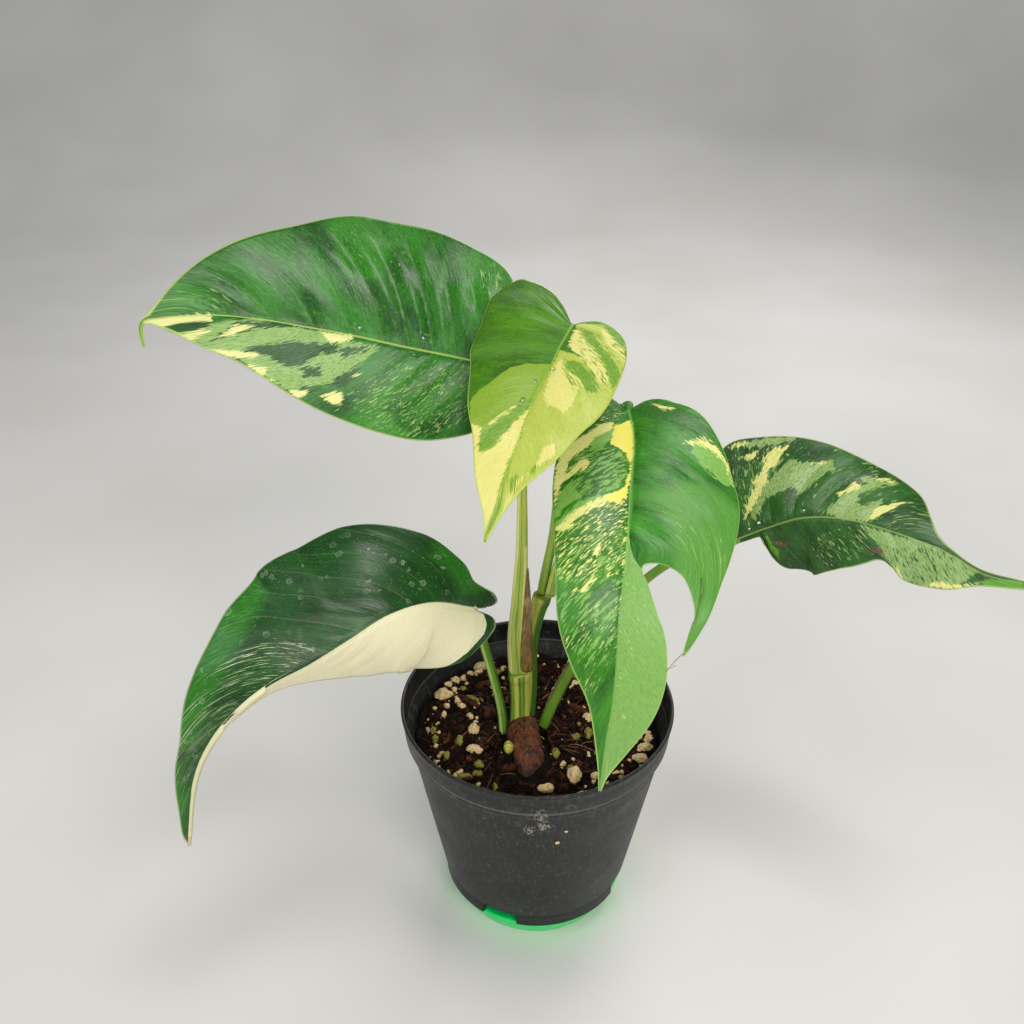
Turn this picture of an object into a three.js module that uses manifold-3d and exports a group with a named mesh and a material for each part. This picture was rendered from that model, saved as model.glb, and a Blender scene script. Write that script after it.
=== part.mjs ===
// A young variegated Epipremnum pinnatum in a round nursery pot that stands on a low round stand.
// Millimetres, +Z up. The origin is on the pot's axis, at the underside of the stand.
// +X is to the right and -Y is toward the side that the front leaves hang over.
import * as THREE from 'three';
import { mergeVertices } from 'three/addons/utils/BufferGeometryUtils.js';
import Module from 'manifold-3d';

const wasm = await Module();
wasm.setup();

const GAP = 0.3;                  // clear space between neighbouring pieces

// Low round stand under the pot
const STAND_HEIGHT = 13;
const STAND_TOP_RADIUS = 41;
const STAND_FOOT_RADIUS = 35.5;

// Nursery pot, a 12 cm one: heights are above its own foot
const POT_HEIGHT = 96;
const POT_RIM_RADIUS = 60;
const COLLAR_RADIUS = 58.5;       // lower edge of the rim band
const COLLAR_HEIGHT = 12;
const NECK_RADIUS = 56.6;         // wall just under the rim band
const POT_FOOT_RADIUS = 42.5;
const FOOT_RING_HEIGHT = 7;
const FLOOR_HEIGHT = 8;           // underside of the pot's floor
const WALL = 1.4;
const RIM_LIP = 1.7;              // thickness of the rim at its top
const NOTCH_WIDTH = 17;
const NOTCH_HEIGHT = 6;
const NOTCH_COUNT = 4;
const NOTCH_TURN = -23.5;         // degrees from the front
const DRAIN_RADIUS = 4;
const DRAIN_CIRCLE = 24;
const DRAIN_COUNT = 6;
const POT_SIDES = 48;

// Soil
const SOIL_LEVEL = 91;
const SOIL_CLEAR = 0.4;
const SOIL_SIDES = 30;
const SOIL_RINGS = 6;
const SOIL_ROUGH = 1.3;
const PERLITE_COUNT = 46;
const PERLITE_SPREAD = 49;        // farthest grain from the axis
const BARK_COUNT = 12;
const BARK_SPREAD = 44;

// Leaves
const BLADE = 0.7;                // thickness of a blade
const MIDRIB = 1.2;               // how far the midrib stands out under the blade
const BLADE_COLUMNS = 8;
const PETIOLE_SIDES = 8;
const PETIOLE_STEPS = 20;

const PETIOLE_END = 1.5;          // radius where the blade begins
const STEM_SIDES = 12;

// Where the blades turn their upper side
const FACE = new THREE.Vector3(0, -Math.SQRT1_2, Math.SQRT1_2);

const pot = STAND_HEIGHT;         // height of the pot's foot

// Every leaf: its midrib from the petiole's end to the tip; how the blade lies at even steps along
// it, as degrees of [roll, left fold, left curl, right fold, right curl]; the margin of each half as
// [vein foot on the midrib, along, across] and, for a curved vein, its middle [along, across];
// the wave of the margin; and the petiole's path and radius from foot to joint.
const LEAVES = {
  leaf_upper_left: {
    rib: [[-15, 10, 260], [-34, 13, 263], [-52, 15, 266], [-69, 15, 270], [-87, 14, 274],
      [-103, 11, 278], [-120, 7, 281], [-135, 1, 282], [-142, -3, 281], [-142, -5, 272]],
    lie: [[-6, 22, -14, 4, -18], [-6, 20, -16, 4, -20], [-5, 18, -16, 4, -22], [-3, 16, -14, 6, -22],
      [0, 8, -10, 8, -12]],
    halfWidth: 42,
    left: [[0, -1.2, 2], [0.5, -3, 9], [1, -3, 19], [2, 0, 27], [5, 8, 33], [12, 22, 37], [24, 40, 37],
      [40, 60, 34], [58, 80, 28], [76, 99, 19], [94, 113, 14], [112, 124, 6], [128, 131, 1.2],
      [141, 141, 0.5]],
    right: [[0, -1.2, 2], [0.5, -3, 9], [1, -1.5, 19], [2, 0.5, 28], [5, 5, 37], [11, 14, 44], [20, 28, 49],
      [32, 46, 53], [48, 66, 51], [66, 84, 41], [84, 101, 30], [104, 115, 17], [120, 128, 4],
      [130, 132, 1.2], [141, 141, 0.5]],
    wave: [1.0, 34],
    rows: 22,
    petiole: [[-8, -0.5, 125], [-9, 0, 141], [-8, 1, 160], [-7, 2, 185], [-7, 2, 212], [-7, 4, 228],
      [-8, 7, 241], [-11, 9, 252]],
    radii: [4.4, 3.9, 3.3, 2.4, 1.9, 1.8, 1.8, 1.9],
    colour: 0x2f7d32,
  },
  leaf_centre: {
    rib: [[11, 6, 278], [6, -6, 274], [1, -20, 269], [-5, -34, 262], [-9, -46, 256], [-14, -56, 247],
      [-17, -63, 238], [-20, -67, 229]],
    lie: [[8, 16, -50, 12, -34], [8, 14, -40, 12, -34], [6, 12, -34, 12, -30], [4, 10, -24, 10, -24],
      [0, 8, -14, 8, -14]],
    halfWidth: 34,
    left: [[0, -1, 2], [0.5, -2.5, 5], [1, -4, 10], [1.5, -2, 16], [3, 3, 21.5], [8, 13, 24.5], [16, 25, 25],
      [28, 37, 24], [38, 48, 21], [50, 60, 16], [64, 73, 9], [80, 87, 2.5], [96, 96, 0.5]],
    right: [[0, -2, 2], [0.5, -8, 7], [1, -14, 14], [1.5, -18, 23], [3, -18.5, 29.5], [6, -9, 34],
      [12, 6, 33], [22, 23, 30.5], [34, 42, 24], [50, 60, 16.5], [66, 74, 10], [82, 88, 3], [96, 96, 0.5]],
    wave: [0.8, 30],
    rows: 20,
    petiole: [[1.5, 9.5, 158], [3, 9.5, 168], [6, 10, 187], [8, 10.5, 212], [10, 11, 238], [11, 11, 260],
      [11.5, 9.5, 273]],
    radii: [2, 2, 1.9, 1.8, 1.7, 1.7, 1.8],
    colour: 0x9cc93a,
  },
  leaf_front: {
    rib: [[33, 4, 245], [34, -8, 239], [32, -24, 230], [30, -40, 220], [28, -53, 210], [26, -63, 198],
      [25, -70, 184], [24, -74, 168], [22, -76, 149], [21, -76, 128]],
    lie: [[0, 14, -26, 14, -36], [0, 12, -26, 12, -36], [0, 10, -24, 10, -34], [0, 8, -20, 8, -26],
      [0, 8, -16, 8, -18]],
    halfWidth: 38,
    left: [[0, -1, 2], [0.5, -3, 8], [1, -2, 14], [2, 3, 21], [5, 10, 28], [9, 20, 35], [15, 33, 39],
      [22, 45, 39, 28, 22], [28, 58, 37, 38, 24], [34, 71, 33, 47, 26], [39, 84, 29, 54, 27],
      [43, 92, 25.5, 57, 26], [45, 96, 22.5, 58, 25], [47, 90, 23.5, 59, 24], [49, 83, 25.2, 60, 23],
      [51, 76, 24.5, 61, 20.5], [53, 68, 20.5, 60.5, 16], [55, 64.5, 14, 60.5, 10], [57, 64.5, 8, 61, 5],
      [60, 67, 6], [63, 73, 9], [69, 81, 12.5], [78, 90, 16], [90, 102, 17.5], [102, 112, 16.5],
      [114, 122, 13.5], [128, 134, 8.5], [142, 147, 2.5], [155, 155, 0.5]],
    right: [[0, -1, 2], [0.5, -3.5, 4], [1, -7, 9], [2, -6, 16], [4, 1, 21], [9, 14, 26], [17, 27, 28],
      [29, 42, 28], [44, 58, 26], [60, 74, 23.5], [76, 88, 21], [90, 101, 16], [106, 114, 9.5],
      [122, 128, 5], [138, 142, 2], [155, 155, 0.5]],
    wave: [0.9, 36],
    rows: 34,
    petiole: [[5, 7, 159], [9, 8, 176], [17, 9, 196], [25, 11, 218], [30, 12, 234], [33, 9.5, 244]],
    radii: [2.2, 2.1, 1.9, 1.8, 1.8, 1.9],
    colour: 0x6fae3c,
  },
  leaf_right: {
    rib: [[83, 14, 182], [95, 12, 189], [107, 9, 195], [121, 5, 197], [134, 0, 196], [147, -6, 194],
      [158, -13, 192], [170, -20, 187], [183, -27, 187], [194, -33, 188]],
    lie: [[8, 14, -20, -18, -24], [8, 12, -24, -18, -26], [8, 8, -34, -16, -24], [4, 2, -70, -8, -16],
      [0, 0, -40, 0, -4], [0, 0, 0, 0, 0]],
    halfWidth: 34,
    left: [[0, -0.6, 2], [0.7, -2.5, 7], [1.6, -2, 16], [3, 0, 25], [6, 5, 34], [10, 12, 38.5], [16, 22, 37],
      [24, 35, 31], [34, 47, 26], [44, 58, 24], [54, 68, 20], [64, 74, 11], [72, 79, 5], [84, 88, 1.8],
      [104, 106, 1.5], [126, 126, 0.5]],
    right: [[0, 0.5, 2], [5, 6, 2.4], [8, 9, 3.2], [9, 10, 7], [10, 11, 13], [12.5, 14, 19.5], [17, 23, 24.5],
      [26, 37, 24], [37, 51, 19], [48, 61, 12.5], [56, 67, 13.5], [63, 73, 16.5], [72, 82, 16], [82, 91, 13],
      [94, 100, 5], [108, 113, 2.5], [126, 126, 0.5]],
    wave: [1.0, 30],
    rows: 24,
    petiole: [[2.5, 0, 92], [8, 1.5, 107], [16, 3, 125], [31, 6, 149], [47, 8, 168], [64, 11, 178],
      [76, 13, 180]],
    radii: [2.4, 2.3, 2.2, 2.0, 1.9, 1.8, 1.8],
    colour: 0x4f8f4a,
  },
  leaf_lower_left: {
    rib: [[-26, -20, 171], [-41, -31, 181], [-56, -42, 183], [-70, -51, 178], [-84, -58, 172],
      [-97, -63, 167], [-109, -66, 158], [-121, -67, 143], [-130, -67, 123], [-137, -67, 91]],
    lie: [[-4, 15, -112, 10, -40], [-6, -22, -66, 8, -38], [-10, -54, -30, 8, -36], [-16, -72, -10, 8, -28],
      [-24, -78, -4, 6, -16], [-30, -60, 0, 0, -8]],
    halfWidth: 40,
    left: [[0, -0.6, 1.6], [0.6, -5, 6], [1.2, -5, 11], [2.5, -1, 18], [6, 6, 27], [12, 19, 34.5],
      [24, 36, 35], [38, 53, 28.5], [52, 66, 20], [66, 78, 11], [80, 91, 7], [96, 107, 6], [114, 124, 6],
      [134, 142, 4], [156, 160, 1.5], [178, 178, 0.5]],
    right: [[0, -3, 0.8], [0.4, -9, 2.2], [0.8, -13, 4.5], [1.4, -10, 7.5], [2, -5, 8.5], [3, 1, 11],
      [4.5, 6, 16], [9, 13, 21], [15, 23, 31], [23, 36, 39], [34, 50, 43], [50, 69, 42], [66, 84, 36],
      [82, 99, 25], [98, 113, 18], [116, 127, 11], [134, 142, 8], [154, 158, 5], [168, 172, 3],
      [178, 178, 0.5]],
    wave: [0.8, 36],
    rows: 26,
    petiole: [[-14.6, -3, 92], [-15.6, -3.5, 105], [-18, -5, 120], [-23, -9.5, 147], [-26, -15.5, 164]],
    radii: [2.0, 1.9, 1.9, 1.8, 1.8],
    colour: 0x1f6a2c,
  },
};

// Stems: path and radius from foot to top, and the steps that the path is cut into
const RHIZOME = {
  path: [[-3, -27, 82], [-3.5, -23, 90], [-4.5, -16, 95], [-6, -7, 96], [-6.5, 1, 93], [-6, 7, 88]],
  radii: [5.5, 6.8, 7.2, 7.6, 7.2, 6],
  steps: 14,
};
const MAIN_SHOOT = {
  path: [[-7.5, -2, 93], [-7.5, -1.5, 108], [-8, -0.5, 124]],
  radii: [4.8, 4.3, 4.6],
  steps: 8,
};
const SECOND_SHOOT = {
  path: [[-4, 8.5, 90], [-3, 8.5, 110], [-3, 8.5, 129], [-1, 8.5, 145], [2, 8.5, 157]],
  radii: [3.6, 3.4, 3.3, 3.5, 4.1],
  steps: 14,
};
const DRIED_SHEATH = {
  path: [[-4.8, -2.6, 125.5], [-5.2, -1.8, 141], [-5.0, -0.4, 158], [-5.0, 0.6, 176]],
  radii: [3.4, 3.0, 2.3, 1.3],
  steps: 12,
};
const BUD = { place: [-12.5, -18, 97], size: [2.4, 2.4, 3.4] };

/** A steady stream of numbers from 0 to 1 that is the same on every run. */
function dice(seed) {
  let state = seed;
  return () => {
    state = (state * 1664525 + 1013904223) % 4294967296;
    return state / 4294967296;
  };
}

/** The smooth line through rows of numbers, at share t of their count. */
function through(rows, t) {
  const last = rows.length - 1;
  const place = Math.min(Math.max(t, 0), 1) * last;
  const i = Math.min(Math.floor(place), last - 1);
  const u = place - i;
  const end = (k, column) => {
    if (k < 0) return 2 * rows[0][column] - rows[1][column];
    if (k > last) return 2 * rows[last][column] - rows[last - 1][column];
    return rows[k][column];
  };
  return rows[0].map((_, column) => {
    const [a, b, c, d] = [-1, 0, 1, 2].map((k) => end(i + k, column));
    const bend = (2 * a - 5 * b + 4 * c - d) * u * u + (3 * b - a - 3 * c + d) * u * u * u;
    return 0.5 * (2 * b + (c - a) * u + bend);
  });
}

/** A closed geometry as a solid that can be joined and cut. */
function solid(geometry) {
  const bare = geometry.clone();
  bare.deleteAttribute('normal');
  bare.deleteAttribute('uv');
  const joined = mergeVertices(bare, 1e-4);
  const vertProperties = new Float32Array(joined.attributes.position.array);
  const triVerts = new Uint32Array(joined.index.array);
  return new wasm.Manifold(new wasm.Mesh({ numProp: 3, vertProperties, triVerts }));
}

/** The geometry of a solid. */
function geometryOf(body) {
  const { numProp, vertProperties, triVerts } = body.getMesh();
  const geometry = new THREE.BufferGeometry();
  const place = new Float32Array((vertProperties.length / numProp) * 3);
  for (let i = 0; i < place.length / 3; i++) {
    for (let k = 0; k < 3; k++) place[3 * i + k] = vertProperties[numProp * i + k];
  }
  geometry.setAttribute('position', new THREE.BufferAttribute(place, 3));
  geometry.setIndex(new THREE.BufferAttribute(new Uint32Array(triVerts), 1));
  geometry.computeVertexNormals();
  return geometry;
}

/** The largest body of a cut solid, without loose scraps. */
function whole(body) {
  return body.decompose().reduce((best, scrap) => (scrap.volume() > best.volume() ? scrap : best));
}

/** A turned piece, from a closed profile of [radius, height] that starts and ends on the axis or closes. */
function turned(profile, sides) {
  const geometry = new THREE.LatheGeometry(profile.map(([r, z]) => new THREE.Vector2(r, z)), sides);
  return geometry.rotateX(Math.PI / 2);
}

/** A round stem along a path, with its radius listed from foot to top and swollen by a margin. */
function stem({ path, radii, steps }, sides, margin = 0) {
  const curve = new THREE.CatmullRomCurve3(path.map((p) => new THREE.Vector3(...p)), false, 'centripetal');
  const frames = curve.computeFrenetFrames(steps);
  const geometry = new THREE.CylinderGeometry(1, 1, 1, sides, steps);
  const place = geometry.attributes.position;
  for (let i = 0; i < place.count; i++) {
    const ring = Math.round((place.getY(i) + 0.5) * steps);
    const radius = through(radii.map((r) => [r]), ring / steps)[0] + margin;
    const point = curve.getPointAt(ring / steps);
    point.addScaledVector(frames.normals[ring], radius * place.getX(i));
    point.addScaledVector(frames.binormals[ring], -radius * place.getZ(i));
    if (ring === 0) point.addScaledVector(frames.tangents[0], -margin);
    if (ring === steps) point.addScaledVector(frames.tangents[steps], margin);
    place.setXYZ(i, point.x, point.y, point.z);
  }
  return geometry;
}

/** The upper surface of a leaf: a function from millimetres along and across to a point in space. */
function bladeSurface({ rib, lie, halfWidth, wave: [waveHeight, waveLength] }) {
  const curve = new THREE.CatmullRomCurve3(rib.map((p) => new THREE.Vector3(...p)), false, 'catmullrom', 0.5);
  curve.arcLengthDivisions = 600;
  const length = curve.getLength();
  const surface = (along, across) => {
    const u = Math.min(Math.max(along / length, 0), 1);
    const tangent = curve.getTangentAt(u);
    const point = curve.getPointAt(u).addScaledVector(tangent, along - u * length);
    const flat = FACE.clone().addScaledVector(tangent, -FACE.dot(tangent)).normalize();
    const beside = tangent.clone().cross(flat);
    const [roll, ...sides] = through(lie, u).map(THREE.MathUtils.degToRad);
    const normal = flat.clone().multiplyScalar(Math.cos(roll)).addScaledVector(beside, Math.sin(roll));
    const right = beside.multiplyScalar(Math.cos(roll)).addScaledVector(flat, -Math.sin(roll));
    const side = across < 0 ? -1 : 1;
    const [fold, curl] = across < 0 ? sides.slice(0, 2) : sides.slice(2, 4);
    const width = Math.abs(across);
    const turn = (Math.abs(curl) < 1e-4 ? 1e-4 : curl) / halfWidth;
    const angle = fold + turn * width;
    const ripple = waveHeight * (width / halfWidth) ** 2
      * Math.sin((2 * Math.PI * along) / waveLength + (across < 0 ? 0 : 1.9));
    const out = (Math.sin(angle) - Math.sin(fold)) / turn - ripple * Math.sin(angle);
    const up = (Math.cos(fold) - Math.cos(angle)) / turn + ripple * Math.cos(angle);
    return point.addScaledVector(right, side * out).addScaledVector(normal, up);
  };
  return { surface, length, curve };
}

/** Margin rows with each vein's middle filled in. */
function veins(rows) {
  return rows.map(([foot, along, across, midAlong, midAcross]) => [foot, along, across,
    midAlong ?? foot + 0.38 * (along - foot), midAcross ?? 0.5 * across]);
}

/** The share of the rows at which a vein's foot lies at the given place. */
function shareAtFoot(rows, foot) {
  let low = 0;
  let high = 1;
  for (let k = 0; k < 30; k++) {
    const middle = (low + high) / 2;
    if (through(rows, middle)[0] < foot) low = middle;
    else high = middle;
  }
  return (low + high) / 2;
}

/** A thin closed sheet between two like-split faces, from a mapped plane; its ridge lies along the middle. */
function sheet(columns, rows, thickness, ridge, map) {
  const face = new THREE.PlaneGeometry(2, 1, columns, rows);
  const place = face.attributes.position;
  for (let i = 0; i < place.count; i++) {
    const point = map(place.getX(i), place.getY(i) + 0.5);
    place.setXYZ(i, point.x, point.y, point.z);
  }
  face.computeVertexNormals();
  const normal = face.attributes.normal;
  const count = place.count;
  const positions = [];
  for (const half of [0.5, -0.5]) {
    for (let i = 0; i < count; i++) {
      const onRidge = half < 0 && i % (columns + 1) === columns / 2;
      const share = Math.floor(i / (columns + 1)) / rows;
      const shift = half * thickness - (onRidge ? ridge * (1 - 0.7 * share) : 0);
      positions.push(place.getX(i) + shift * normal.getX(i), place.getY(i) + shift * normal.getY(i),
        place.getZ(i) + shift * normal.getZ(i));
    }
  }
  const index = Array.from(face.index.array);
  const triangles = [...index];
  for (let i = 0; i < index.length; i += 3) {
    triangles.push(count + index[i], count + index[i + 2], count + index[i + 1]);
  }
  const wide = columns + 1;
  const border = [];
  for (let c = 0; c < columns; c++) border.push(c);
  for (let r = 0; r < rows; r++) border.push(r * wide + columns);
  for (let c = columns; c > 0; c--) border.push(rows * wide + c);
  for (let r = rows; r > 0; r--) border.push(r * wide);
  border.forEach((a, k) => {
    const b = border[(k + 1) % border.length];
    triangles.push(a, b, count + b, a, count + b, count + a);
  });
  const geometry = new THREE.BufferGeometry();
  geometry.setAttribute('position', new THREE.Float32BufferAttribute(positions, 3));
  geometry.setIndex(triangles);
  return geometry;
}

/** A leaf's blade: both halves in one sheet, with the veins as its cross lines. */
function blade(leaf) {
  const { surface, length } = bladeSurface(leaf);
  const left = veins(leaf.left);
  const right = veins(leaf.right);
  const lead = left.length >= right.length ? left : right;
  return sheet(BLADE_COLUMNS, leaf.rows, BLADE, MIDRIB, (across, share) => {
    const foot = through(lead, share)[0];
    const side = across < 0 ? left : right;
    const place = side === lead ? share : shareAtFoot(side, foot);
    const [, along, width, midAlong, midAcross] = through(side, place);
    const s = Math.abs(across);
    const [near, middle, far] = [(1 - s) * (1 - 2 * s), 4 * s * (1 - s), s * (2 * s - 1)];
    const reach = middle * midAcross + far * width;
    const run = near * foot + middle * midAlong + far * along;
    return surface(Math.min(run, length), Math.sign(across) * Math.max(reach, 0));
  });
}

/** The petiole, run on a little way under the blade's base. */
function leafStem(leaf) {
  const { curve } = bladeSurface(leaf);
  const joint = [0, 0.05].map((u) => {
    const tangent = curve.getTangentAt(u);
    const under = FACE.clone().addScaledVector(tangent, -FACE.dot(tangent)).normalize();
    return curve.getPointAt(u).addScaledVector(under, -0.6).toArray();
  });
  const path = [...leaf.petiole, ...joint];
  const radii = evenRadii(path, [...leaf.radii, PETIOLE_END, 0.6 * PETIOLE_END]);
  return { path, radii, steps: PETIOLE_STEPS };
}

/** One body of petiole, midrib and blade. */
function leafBody(leaf) {
  return solid(blade(leaf)).add(solid(stem(leafStem(leaf), PETIOLE_SIDES)));
}

/** Radii listed point by point on a path, as radii at even steps of its length. */
function evenRadii(path, radii) {
  const far = [0];
  for (let i = 1; i < path.length; i++) {
    far.push(far[i - 1] + new THREE.Vector3(...path[i]).distanceTo(new THREE.Vector3(...path[i - 1])));
  }
  const total = far[far.length - 1];
  const count = 2 * PETIOLE_STEPS;
  return Array.from({ length: count + 1 }, (_, k) => {
    const place = (k / count) * total;
    const i = Math.min(Math.max(far.findIndex((d) => d >= place), 1), path.length - 1);
    const u = (place - far[i - 1]) / (far[i] - far[i - 1]);
    return radii[i - 1] + (radii[i] - radii[i - 1]) * u;
  });
}

/** The low stand: a solid disc with a rounded foot. */
function standGeometry() {
  return turned([[0, 0], [STAND_FOOT_RADIUS - 2, 0], [STAND_FOOT_RADIUS, 0.8], [STAND_FOOT_RADIUS + 1.5, 3],
    [STAND_TOP_RADIUS - 0.5, STAND_HEIGHT - 2.5], [STAND_TOP_RADIUS, STAND_HEIGHT - 1],
    [STAND_TOP_RADIUS - 0.6, STAND_HEIGHT - GAP], [0, STAND_HEIGHT - GAP]], POT_SIDES);
}

/** The pot: a thin tapered shell with a rim band, a raised floor, drainage holes and a notched foot ring. */
function potGeometry() {
  const rimTop = pot + POT_HEIGHT;
  const collar = rimTop - COLLAR_HEIGHT;
  const floor = pot + FLOOR_HEIGHT;
  let body = solid(turned([
    [0, floor], [POT_FOOT_RADIUS - 3, floor], [POT_FOOT_RADIUS - 2.4, pot], [POT_FOOT_RADIUS - 0.3, pot],
    [POT_FOOT_RADIUS, pot + 0.5], [POT_FOOT_RADIUS, pot + FOOT_RING_HEIGHT],
    [POT_FOOT_RADIUS + 0.7, pot + FOOT_RING_HEIGHT + 0.8], [NECK_RADIUS, collar - 1.2],
    [COLLAR_RADIUS, collar], [POT_RIM_RADIUS - 0.3, rimTop - 0.6], [POT_RIM_RADIUS - 0.9, rimTop],
    [POT_RIM_RADIUS - RIM_LIP, rimTop - 0.5], [COLLAR_RADIUS - WALL, collar + 0.6],
    [NECK_RADIUS - WALL, collar - 0.9], [POT_FOOT_RADIUS - WALL, floor + WALL + 1.5],
    [POT_FOOT_RADIUS - WALL - 1.5, floor + WALL], [0, floor + WALL],
  ], POT_SIDES));
  for (let k = 0; k < DRAIN_COUNT; k++) {
    const angle = (2 * Math.PI * k) / DRAIN_COUNT;
    const hole = new THREE.CylinderGeometry(DRAIN_RADIUS, DRAIN_RADIUS, 4 * WALL, 14).rotateX(Math.PI / 2);
    hole.translate(DRAIN_CIRCLE * Math.cos(angle), DRAIN_CIRCLE * Math.sin(angle), floor + WALL / 2);
    body = body.subtract(solid(hole));
  }
  for (let k = 0; k < NOTCH_COUNT; k++) {
    const notch = new THREE.BoxGeometry(NOTCH_WIDTH, 10, 2 * NOTCH_HEIGHT);
    notch.translate(0, -POT_FOOT_RADIUS, pot);
    notch.rotateZ(THREE.MathUtils.degToRad(NOTCH_TURN) + (2 * Math.PI * k) / NOTCH_COUNT);
    body = body.subtract(solid(notch));
  }
  return geometryOf(body);
}

/** Height of the soil's surface over the mean level: low mounds and hollows. */
function soilRelief(x, y) {
  const mound = 2.2 * Math.exp(-((x + 5) ** 2 + (y + 2) ** 2) / 500);
  const swell = Math.sin(0.31 * x + 1.3) * Math.cos(0.27 * y - 0.4);
  const ripple = 0.6 * Math.sin(0.7 * x - 0.5 * y);
  return mound + SOIL_ROUGH * (swell + ripple);
}

/** Radius of the space inside the pot at a height. */
function innerRadius(z) {
  const low = pot + FLOOR_HEIGHT + WALL + 1.5;
  const high = pot + POT_HEIGHT - COLLAR_HEIGHT - 0.9;
  const lowRadius = POT_FOOT_RADIUS - WALL;
  const highRadius = NECK_RADIUS - WALL;
  return lowRadius + ((highRadius - lowRadius) * (z - low)) / (high - low);
}

/** The filled soil with grains of perlite and chips of bark half sunk in its surface. */
function soilBody() {
  const bottom = pot + FLOOR_HEIGHT + WALL + GAP;
  const low = bottom + 1.5;
  const edge = SOIL_LEVEL - 1.5;
  const lowRadius = innerRadius(low) - SOIL_CLEAR;
  const profile = [[0, bottom], [lowRadius - 2, bottom], [lowRadius, low],
    [innerRadius(edge) - SOIL_CLEAR - 0.1, edge]];
  for (let k = SOIL_RINGS; k >= 0; k--) {
    profile.push([((innerRadius(SOIL_LEVEL) - 0.8) * k) / SOIL_RINGS, SOIL_LEVEL]);
  }
  const geometry = turned(profile, SOIL_SIDES);
  const place = geometry.attributes.position;
  for (let i = 0; i < place.count; i++) {
    if (Math.abs(place.getZ(i) - SOIL_LEVEL) < 0.01) {
      place.setZ(i, SOIL_LEVEL + soilRelief(place.getX(i), place.getY(i)));
    }
  }
  let body = solid(geometry);
  const draw = dice(7);
  const turn = () => 2 * Math.PI * draw();
  for (let k = 0; k < PERLITE_COUNT + BARK_COUNT; k++) {
    const isBark = k >= PERLITE_COUNT;
    const far = (isBark ? BARK_SPREAD : PERLITE_SPREAD) * Math.sqrt(draw());
    const angle = turn();
    const size = isBark ? 2.6 + 2.4 * draw() : 1.3 + 1.9 * draw() ** 1.5;
    const grain = isBark ? new THREE.BoxGeometry(2.4 * size, 1.3 * size, 0.8 * size)
      : new THREE.IcosahedronGeometry(size, 0).scale(1, 1, 0.85);
    grain.rotateX(isBark ? 0.5 * (draw() - 0.5) : turn()).rotateZ(turn());
    const x = far * Math.cos(angle);
    const y = far * Math.sin(angle);
    grain.translate(x, y, SOIL_LEVEL + soilRelief(x, y) + 0.15 * size);
    body = body.add(solid(grain));
  }
  return body;
}

/** One named piece with its own material. */
function piece(name, geometry, colour, roughness) {
  const material = new THREE.MeshStandardMaterial({ color: colour, roughness, metalness: 0 });
  const mesh = new THREE.Mesh(geometry, material);
  mesh.name = name;
  return mesh;
}

const plant = new THREE.Group();

plant.add(piece('low_stand', standGeometry(), 0x08d66c, 0.4));
plant.add(piece('nursery_pot', potGeometry(), 0x1b1b1d, 0.6));

const clearOf = (shape, sides = STEM_SIDES) => solid(stem(shape, sides, GAP));
const petioleClear = ({ petiole, radii }) => clearOf(
  { path: petiole, radii: evenRadii(petiole, radii), steps: PETIOLE_STEPS }, PETIOLE_SIDES);
const mainClear = clearOf(MAIN_SHOOT);
const secondClear = clearOf(SECOND_SHOOT);
const rhizomeClear = clearOf(RHIZOME);
const rightClear = petioleClear(LEAVES.leaf_right);
const lowerClear = petioleClear(LEAVES.leaf_lower_left);
const upperClear = petioleClear(LEAVES.leaf_upper_left);

/** A solid with room cut out for each of the others. */
const cut = (body, others) => others.reduce((rest, other) => rest.subtract(other), body);

const rhizome = cut(solid(stem(RHIZOME, STEM_SIDES)), [mainClear, secondClear, rightClear, lowerClear]);
plant.add(piece('rhizome', geometryOf(rhizome), 0x7a4a2b, 0.9));
plant.add(piece('main_shoot', stem(MAIN_SHOOT, STEM_SIDES), 0x8fae4a, 0.45));
plant.add(piece('second_shoot', stem(SECOND_SHOOT, STEM_SIDES), 0x9cae45, 0.45));

const sheath = cut(solid(stem(DRIED_SHEATH, STEM_SIDES)), [upperClear, mainClear, secondClear]);
plant.add(piece('dried_sheath', geometryOf(sheath), 0xa88568, 0.8));

const bud = (margin) => solid(new THREE.SphereGeometry(1, 12, 8)
  .scale(...BUD.size.map((half) => half + margin)).translate(...BUD.place));
plant.add(piece('rhizome_bud', geometryOf(cut(bud(0), [rhizomeClear])), 0xb9b24a, 0.6));

const soil = cut(soilBody(), [rhizomeClear, mainClear, secondClear, rightClear, lowerClear, bud(GAP)]);
plant.add(piece('potting_soil', geometryOf(whole(soil)), 0x2b2019, 0.95));

for (const [name, leaf] of Object.entries(LEAVES)) {
  const onRhizome = name === 'leaf_right' || name === 'leaf_lower_left';
  const body = cut(leafBody(leaf), onRhizome ? [] : [mainClear, secondClear]);
  plant.add(piece(name, geometryOf(whole(body)), leaf.colour, 0.4));
}

export default plant;
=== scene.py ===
# %% [markdown]
# # A variegated Epipremnum pinnatum in a nursery pot
# A young climbing plant with five leaves grows in a round black nursery pot, which stands on a low green
# plastic stand. The leaves carry the picture: thin, leathery, glossy, quilted between their side veins and
# marbled in dark green, milky green and cream. The CAD solids give each piece its place and size, and every
# piece here is made again at the scale of its veins, grains and scuffs, inside the same box.

# %% Load the frame
import bpy
import bmesh
import math
import random
import numpy as np
from mathutils import Euler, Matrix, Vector, noise


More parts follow.
